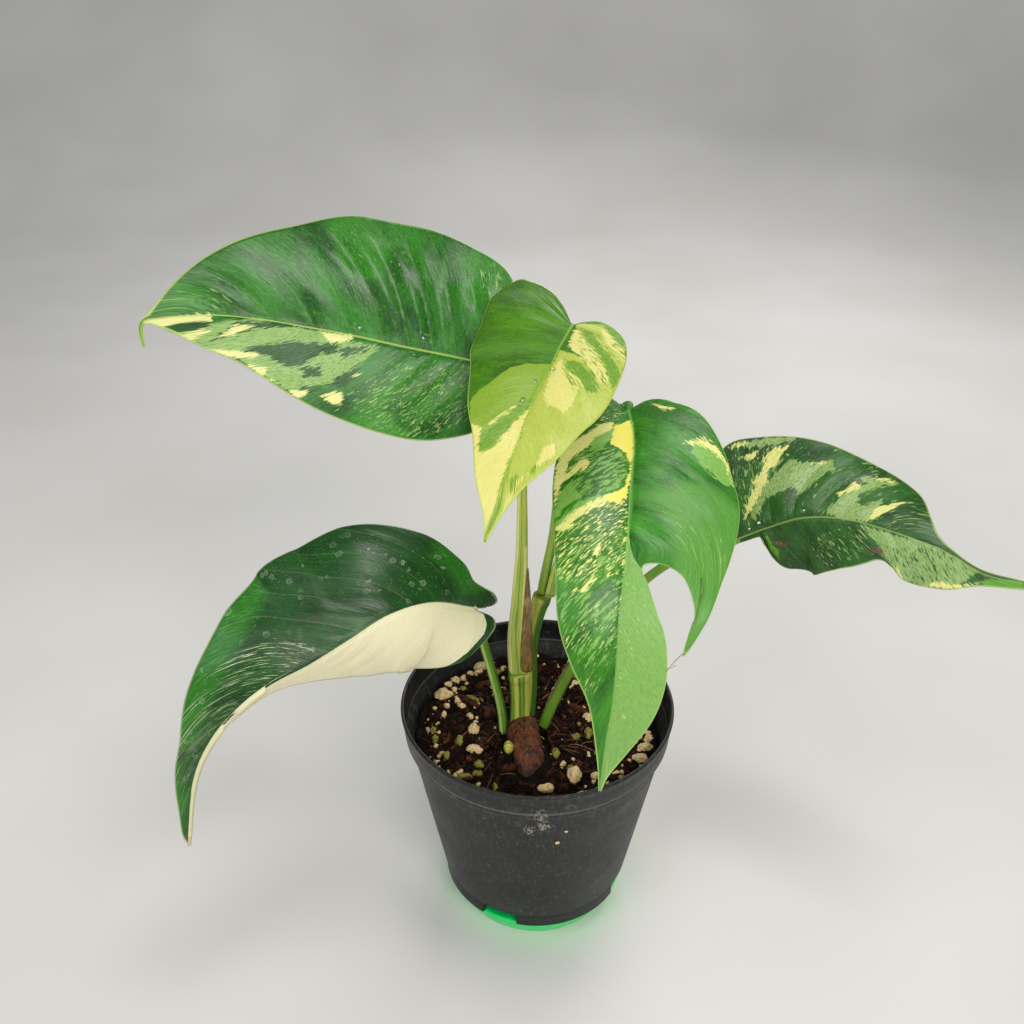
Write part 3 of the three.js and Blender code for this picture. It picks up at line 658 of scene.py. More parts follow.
# %% Leaf skin
def leaf_material(name, greens, layers, rib_tone, edge_tone, matt=0.0, marks=0.0):
    """greens: three hex colours; layers: (attribute, hex, streak hex, raggedness, streak width and
    length in mm), painted in order."""
    def build(tree):
        lay = add(tree, "Attribute", attribute_name="lay").outputs["Vector"]
        colour, cloud = tissue(tree, lay, greens)
        rough = add(tree, "Math", {0: cloud, 1: 0.14, 2: 0.27 + matt}, operation="MULTIPLY_ADD")
        for turn, layer in enumerate(layers):
            colour, mask = patch_layer(tree, lay, colour, layer, 3.1 * turn + 1.7)
            rough = add(tree, "Math", {0: mask, 1: 0.03, 2: rough}, operation="MULTIPLY_ADD")
        colour = vein_lines(tree, colour, rib_tone, edge_tone)
        if marks:
            colour = water_marks(tree, lay, colour, marks)
        place = add(tree, "Mapping", {"Vector": lay, "Scale": (0, 1 / 0.45, 1 / 0.45)})
        cells = add(tree, "TexNoise", {"Vector": place, "Scale": 1.0, "Detail": 2.0})
        lines = streaks(tree, lay, 0.9, 9.0, 4.4, 1.0)
        relief = add(tree, "Math", {0: lines, 1: 1.4, 2: cells}, operation="MULTIPLY_ADD")
        folds = streaks(tree, lay, 2.6, 7.0, 9.4, 3.0)
        relief = add(tree, "Math", {0: folds, 1: 3.2, 2: relief}, operation="MULTIPLY_ADD")
        bump = add(tree, "Bump", {"Height": relief, "Strength": 0.35, "Distance": 0.12 * MM})
        return {"Base Color": colour, "Roughness": rough, "IOR": 1.45, "Normal": bump,
                "Subsurface Weight": 0.06, "Subsurface Scale": 0.5 * MM}
    return finish_of(name, build)


def faded(tone):
    """The tone as the leaf's paler, matt underside shows it."""
    pale = (150, 170, 110)
    return "".join("%02x" % round(0.72 * int(tone[i:i + 2], 16) + 0.28 * p) for i, p in zip((0, 2, 4), pale))


print("underside of a 2a7c14 green:", faded("2a7c14"))

# %% [markdown]
# ## Stems and petioles
# A stem is a cylinder whose rings are set along a curve. Its section isn't round: petioles carry a shallow
# channel on top, and the knee below the blade is thicker and finely wrinkled. Angles are measured from the
# side that faces up and forward, so a stripe can be placed where the photograph shows it.

# %% Stems
def sweep(bm, path, radii, sides, ring_mm, shape=None, rough=0.0):
    """Adds a stem to a mesh; radii go with the path's points, shape(angle, along, length) multiplies them."""
    rib = Rib(path)
    rings = max(4, round(rib.length / ring_mm))
    before = len(bm.verts)
    made = bmesh.ops.create_cone(bm, cap_ends=True, segments=sides, radius1=1, radius2=1, depth=1)["verts"]
    edges = {e for v in made for e in v.link_edges if abs(e.verts[0].co.z - e.verts[1].co.z) > 0.5}
    bmesh.ops.subdivide_edges(bm, edges=list(edges), cuts=rings - 1, use_grid_fill=True)
    bm.verts.ensure_lookup_table()
    made = bm.verts[before:]
    flat = np.array([v.co for v in made])
    share = np.clip(flat[:, 2] + 0.5, 0, 1)
    angle, along = np.arctan2(flat[:, 1], flat[:, 0]), share * rib.length
    steps = np.linalg.norm(np.diff(np.array(path, float), axis=0), axis=1)
    steps = np.concatenate([[0], np.cumsum(steps)])
    radius = np.interp(share, steps / steps[-1], radii)
    if shape:
        radius = radius * shape(angle, along, rib.length)
    point, tangent, face = rib.at(along)
    beside = np.cross(tangent, face)
    place = point + radius[:, None] * (face * np.cos(angle)[:, None] + beside * np.sin(angle)[:, None])
    if rough:
        place += rough * np.array([noise.noise_vector(Vector(p / 2.2)) for p in place])
    for vert, spot in zip(made, place):
        vert.co = spot * MM
    return made, angle, along, radius


test_stem = bmesh.new()
print("a test stem has", len(sweep(test_stem, [[0, 0, 0], [0, 0, 10]], [1, 1], 8, 1)[0]), "points")
test_stem.free()

# %% [markdown]
# ## A stem as a piece
# The same finish paints blades and stems, so a stem carries the same marks: its millimetres along and
# around stand in for those along and across a leaf. Stripes are patches that run lengthwise.

# %% A stem as a piece
DEGREES_PER_MM = 12  # how many degrees round a stem count as a millimetre in an outline


def stem_piece(name, node, material, path, radii, sides, ring_mm, shape=None, layers=None,
               rough=0.0):
    """A stem as a piece, with the marks that the leaf finish reads; layers are outlines on it unrolled."""
    bm = bmesh.new()
    made, angle, along, radius = sweep(bm, path, radii, sides, ring_mm, shape, rough)
    bmesh.ops.recalc_face_normals(bm, faces=bm.faces)
    bm.verts.index_update()
    order = np.argsort([v.index for v in made])
    angle, along, radius = angle[order], along[order], radius[order]
    piece = piece_of(name, bm, node, material)
    front = np.where(np.abs(angle) <= math.pi / 2, angle, np.sign(angle) * math.pi - angle)
    far = np.full_like(along, 9)
    marks = {"lay": np.stack([radius * front, along, along / 4], -1), "rib": 0 * far, "callus": far,
             "rim": np.stack([far, far, 0 * far], -1)}
    marks.update(layer_depths(layers or {}, along, np.degrees(angle) / DEGREES_PER_MM))
    keep_marks(piece.data, marks)
    return piece


def stripe(first, last, low, high, cap=0.6):
    """A lengthwise stripe on a stem: from and to in millimetres along it, and in degrees round it."""
    low, high = low / DEGREES_PER_MM, high / DEGREES_PER_MM
    return cap, [(first, low), (last, low), (last, high), (first, high)]


def petiole_shape(angle, along, length):
    """A channel on the upper side, fine ridges, and the wrinkled knee in the last 12 mm."""
    knee = np.clip((along - length + 17) / 5, 0, 1) * np.clip((length - along) / 4, 0, 1)
    channel = -0.17 * np.exp(-(angle / 0.42) ** 2) * (1 - 0.7 * knee)
    return 1.02 + channel + 0.02 * np.cos(7 * angle) + knee * (0.13 + 0.025 * np.sin(along * 5.2))


print("a stripe's outline:", stripe(0, 10, 0, 24)[1])

# %% [markdown]
# ## A whole leaf
# Each leaf is two pieces for one node: the blade, which Solidify makes thick under the midrib and thin
# elsewhere, with its own finish on the underside, and the petiole, which goes on a little way under the
# midrib.

# %% A whole leaf
LEAVES = {}
PATCHES = {}


def leaf_piece(name, greens, layers, rib_tone, edge_tone, marks=0.0):
    """The blade of a leaf, with its upper and its under side."""
    leaf = LEAVES[name]
    mesh, thickness = blade_mesh(name + "_blade", leaf, PATCHES[name])
    upper = leaf_material(name + "_waxy_upper_skin", greens, layers, rib_tone, edge_tone, 0.0, marks)
    layers = [layer if layer[0] == "ivory" else (layer[0], faded(layer[1]), faded(layer[2]), *layer[3:])
              for layer in layers]
    greens = [faded(tone) for tone in greens]
    below = leaf_material(name + "_matt_under_skin", greens, layers, rib_tone, faded(edge_tone), 0.23)
    blade = link_object(name + "_blade", mesh, upper, below)
    body = blade.vertex_groups.new(name="body")
    for index, deep in enumerate(thickness):
        body.add([index], min(deep / DEEPEST, 1), "REPLACE")
    thick = blade.modifiers.new("thickness", "SOLIDIFY")
    thick.thickness = DEEPEST * MM
    thick.offset = -1
    thick.vertex_group = "body"
    thick.thickness_vertex_group = 0
    thick.material_offset = 1
    dress(blade, name)
    print(name, len(mesh.vertices), "points")


def petiole_piece(name, greens, layers, stripes):
    """The petiole of a leaf, carried on a little way under the midrib."""
    leaf = LEAVES[name]
    rib = Rib(leaf["rib"])
    point, _, face = rib.at(np.array([0.0, 0.05 * rib.length]))
    path = leaf["petiole"] + (point - np.array([[2.0], [1.2]]) * face).tolist()
    skin = leaf_material(name + "_petiole_skin", greens, layers, greens[2], greens[2], 0.04)
    stem_piece(name + "_petiole", name, skin, path, leaf["radii"] + [1.3, 0.4], 30, 1.3,
               petiole_shape, stripes)


print("solidify goes", DEEPEST, "mm deep where the body weight is 1")

# %% [markdown]
# ## Upper left leaf
# Each leaf lists its midrib in space; how the blade lies at even steps along it, as degrees of roll, left
# fold, left curl, right fold and right curl; the margins as the foot of a side vein on the midrib and the
# place where it ends, along and across the flat leaf; and the petiole. Holes are along, across and two half
# sizes. "quilt" is how high the left and right half swell between side veins, "spacing" how far apart those
# are, "drift" how far one runs on toward the tip, and "crease" the height of small folds. All are in
# millimetres, base first. This is the biggest leaf: it points left, and its far half swells strongly and
# catches the light.

# %% Upper left leaf, measured
LEAVES["leaf_upper_left"] = {
    "rib": [[-15, 10, 260], [-34, 13, 263], [-52, 15, 266], [-69, 15, 270], [-87, 14, 274], [-103, 11, 278],
        [-120, 7, 281], [-135, 1, 282], [-142, -3, 281], [-142, -5, 272]],
    "lie": [[-6, 22, -14, 4, -18], [-6, 20, -16, 4, -20], [-5, 18, -16, 4, -22], [-3, 16, -14, 6, -22],
        [0, 8, -10, 8, -12]],
    "half_width": 42,
    "left": [[0, -1.2, 2], [0.5, -3, 9], [1, -3, 19], [2, 0, 27], [5, 8, 33], [12, 22, 37], [24, 40, 37],
        [40, 60, 34], [58, 80, 28], [76, 99, 19], [94, 113, 14], [112, 124, 6], [128, 131, 1.2],
        [141, 141, 0.5]],
    "right": [[0, -1.2, 2], [0.5, -3, 9], [1, -1.5, 19], [2, 0.5, 28], [5, 5, 37], [11, 14, 44], [20, 28, 49],
        [32, 46, 53], [48, 66, 51], [66, 84, 41], [84, 101, 30], [104, 115, 17], [120, 128, 4],
        [130, 132, 1.2], [141, 141, 0.5]],
    "wave": [0.45, 34],
    "petiole": [[-8, -0.5, 125], [-9, 0, 141], [-8, 1, 160], [-7, 2, 185], [-7, 2, 212], [-7, 4, 228],
        [-8, 7, 241], [-11, 9, 252]],
    "radii": [4.4, 3.9, 3.3, 2.4, 1.9, 1.8, 1.8, 1.9],
    "holes": [(55, 3.4, 0.6, 0.5), (31, 4.6, 0.6, 0.5), (33, -2.6, 0.5, 0.4), (12, 2.6, 0.6, 0.5)],
    "quilt": (0.4, 1.3), "spacing": 13, "drift": 13, "crease": (0.1, 0.1), "seed": 3,
}


def midrib_length(name):
    """The length of a leaf's midrib in millimetres."""
    return round(Rib(LEAVES[name]["rib"]).length)


print("upper left midrib", midrib_length("leaf_upper_left"), "mm")

# %% [markdown]
# ## Upper left leaf's patches
# The far half is almost plain green, the near half marbled: milky green with dark islands, and cream at the
# tip and the margin. Each patch is its depth and its outline, as places along and across the flat leaf.

# %% Upper left leaf's patches
PATCHES["leaf_upper_left"] = {
    "milky": [
        (4, [(124, -6), (108, -4), (93, 0), (69, -1), (56, -3), (46, -2), (52, -12), (57, -20), (63, -23),
             (72, -25), (77, -28), (88, -24), (99, -17), (108, -16), (117, -11)]),
        (-0.7, [(130, 2), (122, 8), (110, 11), (100, 5), (107, 0), (119, 0)]),
        (-0.5, [(17, 37), (13, 42), (7, 35), (8, 25), (13, 29)]),
        (-0.9, [(70, 48), (56, 48), (44, 40), (44, 31), (56, 30), (66, 38)]),
        (-0.6, [(29, -6), (13, 0), (9, -15), (14, -20), (26, -17), (35, -13)]),
        (-0.5, [(54, -25), (41, -9), (12, -2), (6, -27), (24, -36), (44, -35)])],
    "bright": [
        (1, [(50, -33), (38, -30), (28, -35), (32, -42), (48, -42)]),
        (-1.2, [(50, -6), (36, -8), (20, -24), (30, -36), (52, -30)]),
        (0, [(64, 24), (52, 24), (50, 40), (60, 54), (74, 50)]),
        (0, [(20, 24), (10, 22), (2, 34), (14, 46), (24, 40)])],
    "dark": [
        (4, [(126, -5), (119, -2), (108, -3), (110, -7), (122, -8)]),
        (4, [(109, -12), (99, -2), (82, 0), (79, -1), (93, -5), (101, -9)]),
        (4, [(101, -17), (87, -10), (80, -8), (69, -6), (61, -5), (61, -9), (67, -11), (73, -16), (78, -19),
             (87, -16)]),
        (4, [(60, -7), (50, -3), (51, -6), (57, -9), (59, -12)]),
        (4, [(73, -18), (66, -15), (66, -20), (72, -22)]),
        (4, [(62, -22), (57, -17), (51, -12), (53, -18), (57, -23)])],
    "cream": [
        (4, [(132, 0), (108, 0), (108, -3), (120, -3), (126, -4), (132, -1)]),
        (4, [(69, -1), (56, 0), (58, -3), (65, -5)]),
        (1.0, [(106, -10), (99, -4), (92, -3), (101, -9)]),
        (1.2, [(114, -7), (108, -6), (112, -9), (118, -11), (121, -9)]),
        (4, [(112, -15), (99, -15), (89, -15), (92, -17), (101, -18)]),
        (4, [(95, -20), (86, -21), (89, -23), (82, -26), (89, -24)]),
        (4, [(77, -28), (69, -26), (70, -29), (73, -30)]),
        (4, [(65, -28), (56, -24), (56, -29), (58, -30)]),
        (1.0, [(54, -18), (51, -14), (52, -17)]),
        (-0.9, [(52, -22), (40, -10), (14, -6), (10, -27), (26, -36), (42, -34)]),
        (-1.1, [(116, -6), (75, 0), (54, -12), (50, -34), (81, -27)]),
        (-1.2, [(130, 2), (122, 8), (110, 9), (106, 4), (110, 0)])],
}
print(sum(map(len, PATCHES["leaf_upper_left"].values())), "patches")

# %% [markdown]
# ## Upper left leaf, made
# The greens go from dark to light, and the layers are painted in order. Its petiole is a wide, pale sheath
# at the foot, which once wrapped the next leaf, so that one is almost cream with darker stripes.

# %% Upper left leaf, made
leaf_piece("leaf_upper_left", ["10480a", "2a7c14", "6fae38"],
           [("bright", "277c12", "4c9c20", 3.0, 1.0, 3.0, 1.6), ("milky", "94b860", "5c9038", 3.6, 1.1, 3.0),
            ("dark", "103f08", "2a701a", 4.8, 1.1, 3.0),
            ("cream", "ece8a0", "d2d878", 3.0, 0.9, 3.0)], "b4cf5c", "c4dc7c")
petiole_piece("leaf_upper_left", ["a6bc48", "c6d45c", "dce47c"],
              [("pale", "f0ee9c", "e0e07c", 1.0, 0.5, 9), ("dark", "64942a", "88ac40", 1.0, 0.5, 9)],
              {"pale": [stripe(0, 55, -110, -40), stripe(0, 62, 25, 70), stripe(55, 150, -80, -35)],
               "dark": [stripe(0, 150, -16, 2, 0.3), stripe(0, 40, 70, 130)]})

# %% [markdown]
# ## Centre leaf
# The youngest leaf is the thinnest blade and lies the most curled. Its base lobes reach back past the
# petiole.

# %% Centre leaf, measured
LEAVES["leaf_centre"] = {
    "rib": [[11, 6, 278], [6, -6, 274], [1, -20, 269], [-5, -34, 262], [-9, -46, 256], [-14, -56, 247],
        [-17, -63, 238], [-20, -67, 229]],
    "lie": [[8, 16, -50, 12, -34], [8, 14, -40, 12, -34], [6, 12, -34, 12, -30], [4, 10, -24, 10, -24],
        [0, 8, -14, 8, -14]],
    "half_width": 34,
    "left": [[0, -1, 2], [0.5, -2.5, 5], [1, -4, 10], [1.5, -2, 16], [3, 3, 21.5], [8, 13, 24.5],
        [16, 25, 25], [28, 37, 24], [38, 48, 21], [50, 60, 16], [64, 73, 9], [80, 87, 2.5], [96, 96, 0.5]],
    "right": [[0, -2, 2], [0.5, -8, 7], [1, -14, 14], [1.5, -18, 23], [3, -18.5, 29.5], [6, -9, 34],
        [12, 6, 33], [22, 23, 30.5], [34, 42, 24], [50, 60, 16.5], [66, 74, 10], [82, 88, 3], [96, 96, 0.5]],
    "wave": [0.8, 30],
    "petiole": [[1.5, 9.5, 158], [3, 9.5, 168], [6, 10, 187], [8, 10.5, 212], [10, 11, 238], [11, 11, 260],
        [11.5, 9.5, 273]],
    "radii": [2, 2, 1.9, 1.8, 1.7, 1.7, 1.8],
    "holes": [(27, -1.6, 0.6, 0.5), (44, 3.6, 1.0, 0.4), (34, 2.4, 0.4, 0.4)],
    "quilt": (0.4, 0.2), "spacing": 12, "drift": 9, "crease": (0.2, 0.2), "seed": 11,
}
print("centre midrib", midrib_length("leaf_centre"), "mm")

# %% [markdown]
# ## Centre leaf's patches
# It is nearly all lime and cream: dark lime where it is deepest, straw and pale lime below, and cream along
# the midrib and at the tip.

# %% Centre leaf's patches
PATCHES["leaf_centre"] = {
    "pale": [
        (4, [(24, 0), (28, 8), (33, 13), (40, 16), (47, 20), (49, 20), (62, 16), (68, 12), (96, 0), (43, 0),
             (24, 0)])],
    "straw": [
        (9, [(16, -0.5), (19, -12), (24, -27), (44, -27), (61, -20), (97, 0), (44, 0)]),
        (0.6, [(0, -1), (-3, -13), (4, -22), (25, -27), (20, -12)])],
    "cream": [
        (4, [(59, 17), (59, 13), (65, 12), (69, 10), (66, 7), (59, 5), (53, 3), (45, 0), (96, 0)]),
        (1.5, [(58, 12), (53, 9), (47, 5), (44, 3), (49, 5), (55, 8)]),
        (4, [(25, -1), (21, -4), (30, -11), (33, -13), (40, -13), (45, -12), (43, -8), (43, -5), (38, -2)]),
        (2, [(61, -9), (58, -12), (61, -14), (67, -9)]),
        (2, [(87, -2), (75, -4), (70, -7), (81, -4), (96, 0)]),
        (1.5, [(2, -2), (7, -6), (10, -11), (18, -16), (26, -22), (28, -18), (23, -14), (16, -6), (13, -3)]),
        (1.5, [(25, -8), (27, -12), (32, -18), (32, -14)]),
        (1.5, [(0, -11), (2, -17), (8, -22), (14, -25), (11, -21), (6, -14)]),
        (-0.6, [(3, -5), (4, -22), (29, -25), (30, -13)])],
    "lime": [
        (-0.5, [(3, -5), (4, -22), (29, -25), (30, -13)]),
        (2.5, [(68, 11), (62, 12), (57, 10), (51, 4), (55, 4), (61, 6), (65, 8), (69, 10)]),
        (0.8, [(55, 9), (48, 5), (41, 0), (47, 1), (53, 5)]),
        (2.5, [(21, -5), (22, -11), (26, -16), (32, -20), (33, -16), (29, -11), (25, -5)]),
        (2.0, [(2, -3), (3, -9), (9, -14), (18, -23), (21, -25), (29, -24), (25, -21), (15, -15), (10, -9)]),
        (1.2, [(-4, -9), (-3, -15), (3, -21), (6, -23), (5, -19), (1, -14)]),
        (0.8, [(21, -3), (28, -8), (35, -14), (32, -10), (27, -6)]),
        (0.6, [(96, 1), (87, 0), (79, -1), (67, 0), (81, -2), (90, -1)]),
        (0.4, [(74, -2), (72, -4), (77, -5), (79, -4)]),
        (0.4, [(68, -8), (67, -9), (70, -9), (70, -8)])],
}
print(sum(map(len, PATCHES["leaf_centre"].values())), "patches")

# %% [markdown]
# ## Centre leaf, made
# Young tissue is thin and yellowish, so even its greens are warm, and its petiole has only faint darker
# stripes.

# %% Centre leaf, made
leaf_piece("leaf_centre", ["2f6000", "4d8800", "6ea60e"],
           [("pale", "86a82c", "769c1e", 1.0, 1.4, 4), ("straw", "b8c656", "a8b842", 2.0, 1.6, 4.5),
            ("cream", "e0da80", "d0ce6c", 3.0, 1.3, 4.2), ("lime", "5f9014", "86aa34", 4.2, 0.8, 3.4)],
           "8cac34", "c0d068")
petiole_piece("leaf_centre", ["8cb03c", "b0cc50", "cce470"], [("dark", "6c9830", "84ac40", 1.0, 0.5, 9)],
              {"dark": [stripe(0, 140, 20, 60), stripe(0, 140, -160, -110)]})

# %% [markdown]
# ## Front leaf
# The leaf in front is split: one half has a deep lobe cut, as adult leaves of the species grow. The
# margin's side veins run in to the split and out again, so the net follows it and no cell is cut.

# %% Front leaf, measured
LEAVES["leaf_front"] = {
    "rib": [[33, 4, 245], [34, -8, 239], [32, -24, 230], [30, -40, 220], [28, -53, 210], [26, -63, 198],
        [25, -70, 184], [24, -74, 168], [22, -76, 149], [21, -76, 128]],
    "lie": [[0, 14, -26, 14, -36], [0, 12, -26, 12, -36], [0, 10, -24, 10, -34], [0, 8, -20, 8, -26],
        [0, 8, -16, 8, -18]],
    "half_width": 38,
    "left": [[0, -1, 2], [0.5, -3, 8], [1, -2, 14], [2, 3, 21], [5, 10, 28], [9, 20, 35], [15, 33, 39],
        [22, 45, 39, 28, 22], [28, 58, 37, 38, 24], [34, 71, 33, 47, 26], [39, 84, 29, 54, 27],
        [43, 92, 25.5, 57, 26], [45, 96, 22.5, 58, 25], [47, 90, 23.5, 59, 24], [49, 83, 25.2, 60, 23],
        [51, 76, 24.5, 61, 20.5], [53, 68, 20.5, 60.5, 16], [55, 64.5, 14, 60.5, 10], [57, 64.5, 8, 61, 5],
        [60, 67, 6], [63, 73, 9], [69, 81, 12.5], [78, 90, 16], [90, 102, 17.5], [102, 112, 16.5],
        [114, 122, 13.5], [128, 134, 8.5], [142, 147, 2.5], [155, 155, 0.5]],
    "right": [[0, -1, 2], [0.5, -3.5, 4], [1, -7, 9], [2, -6, 16], [4, 1, 21], [9, 14, 26], [17, 27, 28],
        [29, 42, 28], [44, 58, 26], [60, 74, 23.5], [76, 88, 21], [90, 101, 16], [106, 114, 9.5],
        [122, 128, 5], [138, 142, 2], [155, 155, 0.5]],
    "wave": [0.9, 36],
    "petiole": [[5, 7, 159], [9, 8, 176], [17, 9, 196], [25, 11, 218], [30, 12, 234], [33, 9.5, 244]],
    "radii": [2.2, 2.1, 1.9, 1.8, 1.8, 1.9],
    "holes": [(41.5, 2.2, 0.7, 0.6)],
    "quilt": (0.4, 0.45), "spacing": 16, "drift": 10, "crease": (0.15, 0.1), "seed": 5,
}
print("front midrib", midrib_length("leaf_front"), "mm")

# %% [markdown]
# ## Front leaf's patches
# It carries every tone: dark lobes, a yellow field beside the midrib, milky stripes, cream flecks, a pale
# tail below the split and a misty field above it.

# %% Front leaf's patches
PATCHES["leaf_front"] = {
    "misty": [
        (3.2, [(38, -5), (48, -13), (60, -17), (74, -18), (108, -13), (108, -32), (64, -44), (40, -40),
             (30, -26)])],
    "tail": [
        (9, [(52, 0.2), (59, -1.2), (63, -2.6), (66, -5), (69, -11), (76, -16), (88, -20), (100, -23),
             (113, -22), (132, -15), (165, -3), (165, 0.2)])],
    "pale": [
        (3, [(15, -20), (15, -25), (18, -33), (24, -37), (30, -38), (29, -34), (24, -26), (19, -21)]),
        (-0.5, [(45, -11), (48, -22), (50, -35), (65, -35), (70, -30), (58, -21)]),
        (3, [(17, 17), (9, 9), (12, 7), (18, 9), (21, 13), (20, 17)]),
        (2.5, [(32, 25), (26, 21), (20, 13), (21, 4), (28, 2), (36, 4), (40, 12), (43, 19), (47, 24),
             (53, 26), (48, 27), (40, 25), (33, 20)]),
        (3, [(54, 26), (44, 19), (40, 12), (42, 6), (45, 12), (48, 18), (55, 23)]),
        (-0.3, [(63, 24), (56, 11), (60, 0), (86, 0), (101, 6), (96, 16), (79, 22)]),
        (1, [(0, -7), (4, -17), (5, -12)]),
        (-1.5, [(6, -2), (4, -12), (16, -30), (40, -38), (60, -34), (96, -24), (70, -12), (60, -2)])],
    "dark": [
        (4, [(-7, 14), (-4, 5), (1, 0), (7, 8), (10, 15), (19, 23), (19, 27), (1, 21)]),
        (4, [(-1, -2), (-3, -10), (6, -21), (13, -30), (12, -18), (8, -11), (4, -3)]),
        (0.1, [(31, 24), (26, 21), (21, 13), (21, 4), (28, 2), (36, 7), (43, 17)])],
    "cream": [
        (4, [(25, 27), (19, 23), (7, 13), (6, 7), (10, 8), (16, 15), (21, 17), (27, 23), (33, 24), (26, 18),
             (28, 14), (32, 20), (37, 25), (46, 27), (34, 28)]),
        (-0.6, [(1, 21), (-7, 14), (2, 2), (18, 23), (19, 27)]),
        (-0.35, [(57, 25), (47, 16), (40, 2), (54, 0), (68, 0), (73, 11), (74, 22)]),
        (3, [(43, 3), (43, 8), (46, 13), (50, 18), (56, 22), (55, 26), (49, 21), (44, 15), (40, 9), (40, 4)]),
        (2, [(64, 12), (59, 10), (60, 9), (64, 10)]),
        (2, [(77, 15), (71, 11), (72, 10), (77, 13)]),
        (1, [(67, 14), (65, 12), (67, 13)]),
        (1, [(78, 18), (76, 16), (77, 16)]),
        (-0.7, [(87, 20), (77, 0), (95, 0), (115, 9)]),
        (1.5, [(16, -18), (14, -25), (16, -31), (21, -35), (30, -38), (21, -34), (18, -30), (16, -25),
             (16, -21)]),
        (1.2, [(-1, -9), (4, -17), (4, -13)]),
        (-0.9, [(49, -15), (50, -22), (53, -36), (63, -36), (64, -27)]),
        (-0.95, [(62, -1), (68, -8), (76, -15), (88, -19), (113, -18), (132, -10), (150, -1)])],
    "yellow": [
        (4, [(8, 7), (5, 0), (29, 0), (43, 2), (42, 7), (42, 10), (35, 2), (26, 1), (21, 3), (18, 9),
             (13, 8)])],
}
print(sum(map(len, PATCHES["leaf_front"].values())), "patches")

# %% [markdown]
# ## Front leaf, made
# A layer's seventh number makes its edge soft over so many millimetres. The petiole has a dark green knee.

# %% Front leaf, made
leaf_piece("leaf_front", ["1c5c0a", "3a8c18", "6cb03c"],
           [("misty", "5a9a38", "488a28", 2.6, 1.6, 6.0, 2.6), ("tail", "86b65c", "6ea448", 0.3, 1.9, 5.0),
            ("pale", "86b858", "66a238", 3.2, 1.9, 5.0), ("dark", "1e5a0c", "3c8418", 3.6, 1.2, 3.6),
            ("cream", "eeea94", "d8dc78", 3.0, 0.8, 2.4), ("yellow", "f2e65a", "ece678", 2.0, 1.0, 3.4)],
           "6ea83c", "b6d678")
petiole_piece("leaf_front", ["84a838", "a4c048", "c4dc68"],
              [("pale", "dcdc78", "c8cc5c", 1.0, 0.5, 9), ("dark", "2c6c10", "4a8c20", 1.0, 0.5, 4)],
              {"pale": [stripe(0, 120, -70, -20)], "dark": [stripe(83, 130, -200, 200, 3)]})

# %% [markdown]
# ## Right leaf
# The right leaf hangs on a long petiole and twists toward a drawn-out tip, which is finished here beyond
# the edge of the photograph. Its lower half is scalloped where the blade is damaged.

# %% Right leaf, measured
LEAVES["leaf_right"] = {
    "rib": [[83, 14, 182], [95, 12, 189], [107, 9, 195], [121, 5, 197], [134, 0, 196], [147, -6, 194],
        [158, -13, 192], [170, -20, 187], [183, -27, 187], [194, -33, 188]],
    "lie": [[8, 14, -20, -18, -24], [8, 12, -24, -18, -26], [8, 8, -34, -16, -24], [4, 2, -70, -8, -16],
        [0, 0, -40, 0, -4], [0, 0, 0, 0, 0]],
    "half_width": 34,
    "left": [[0, -0.6, 2], [0.7, -2.5, 7], [1.6, -2, 16], [3, 0, 25], [6, 5, 34], [10, 12, 38.5],
        [16, 22, 37], [24, 35, 31], [34, 47, 26], [44, 58, 24], [54, 68, 20], [64, 74, 11], [72, 79, 5],
        [84, 88, 1.8], [104, 106, 1.5], [126, 126, 0.5]],
    "right": [[0, 0.5, 2], [5, 6, 2.4], [8, 9, 3.2], [9, 9, 7.5], [10, 9.5, 14], [12.5, 12.5, 20],
        [17, 20.5, 24], [21, 28.5, 25.4], [26, 36, 24.5], [37, 51, 19], [48, 61, 12.5], [56, 67, 13.5],
        [63, 73, 16.5], [72, 82, 16], [82, 91, 13], [94, 100, 5], [108, 113, 2.5], [126, 126, 0.5]],
    "wave": [1.0, 30],
    "petiole": [[2.5, 0, 92], [8, 1.5, 107], [16, 3, 125], [31, 6, 149], [47, 8, 168], [64, 11, 178],
        [76, 13, 180]],
    "radii": [2.4, 2.3, 2.2, 2.0, 1.9, 1.8, 1.8],
    "holes": [(10.5, -3.2, 1.1, 0.5), (6, -2.2, 0.6, 0.4), (28.5, -3.0, 0.5, 0.4)],
    "quilt": (0.8, 0.7), "spacing": 11, "drift": 7, "crease": (0.2, 0.1), "seed": 8,
}
print("right midrib", midrib_length("leaf_right"), "mm")

# %% [markdown]
# ## Right leaf's patches
# Pale arcs follow its side veins on the upper half, milky green covers the tail, and two torn spots are
# brown.

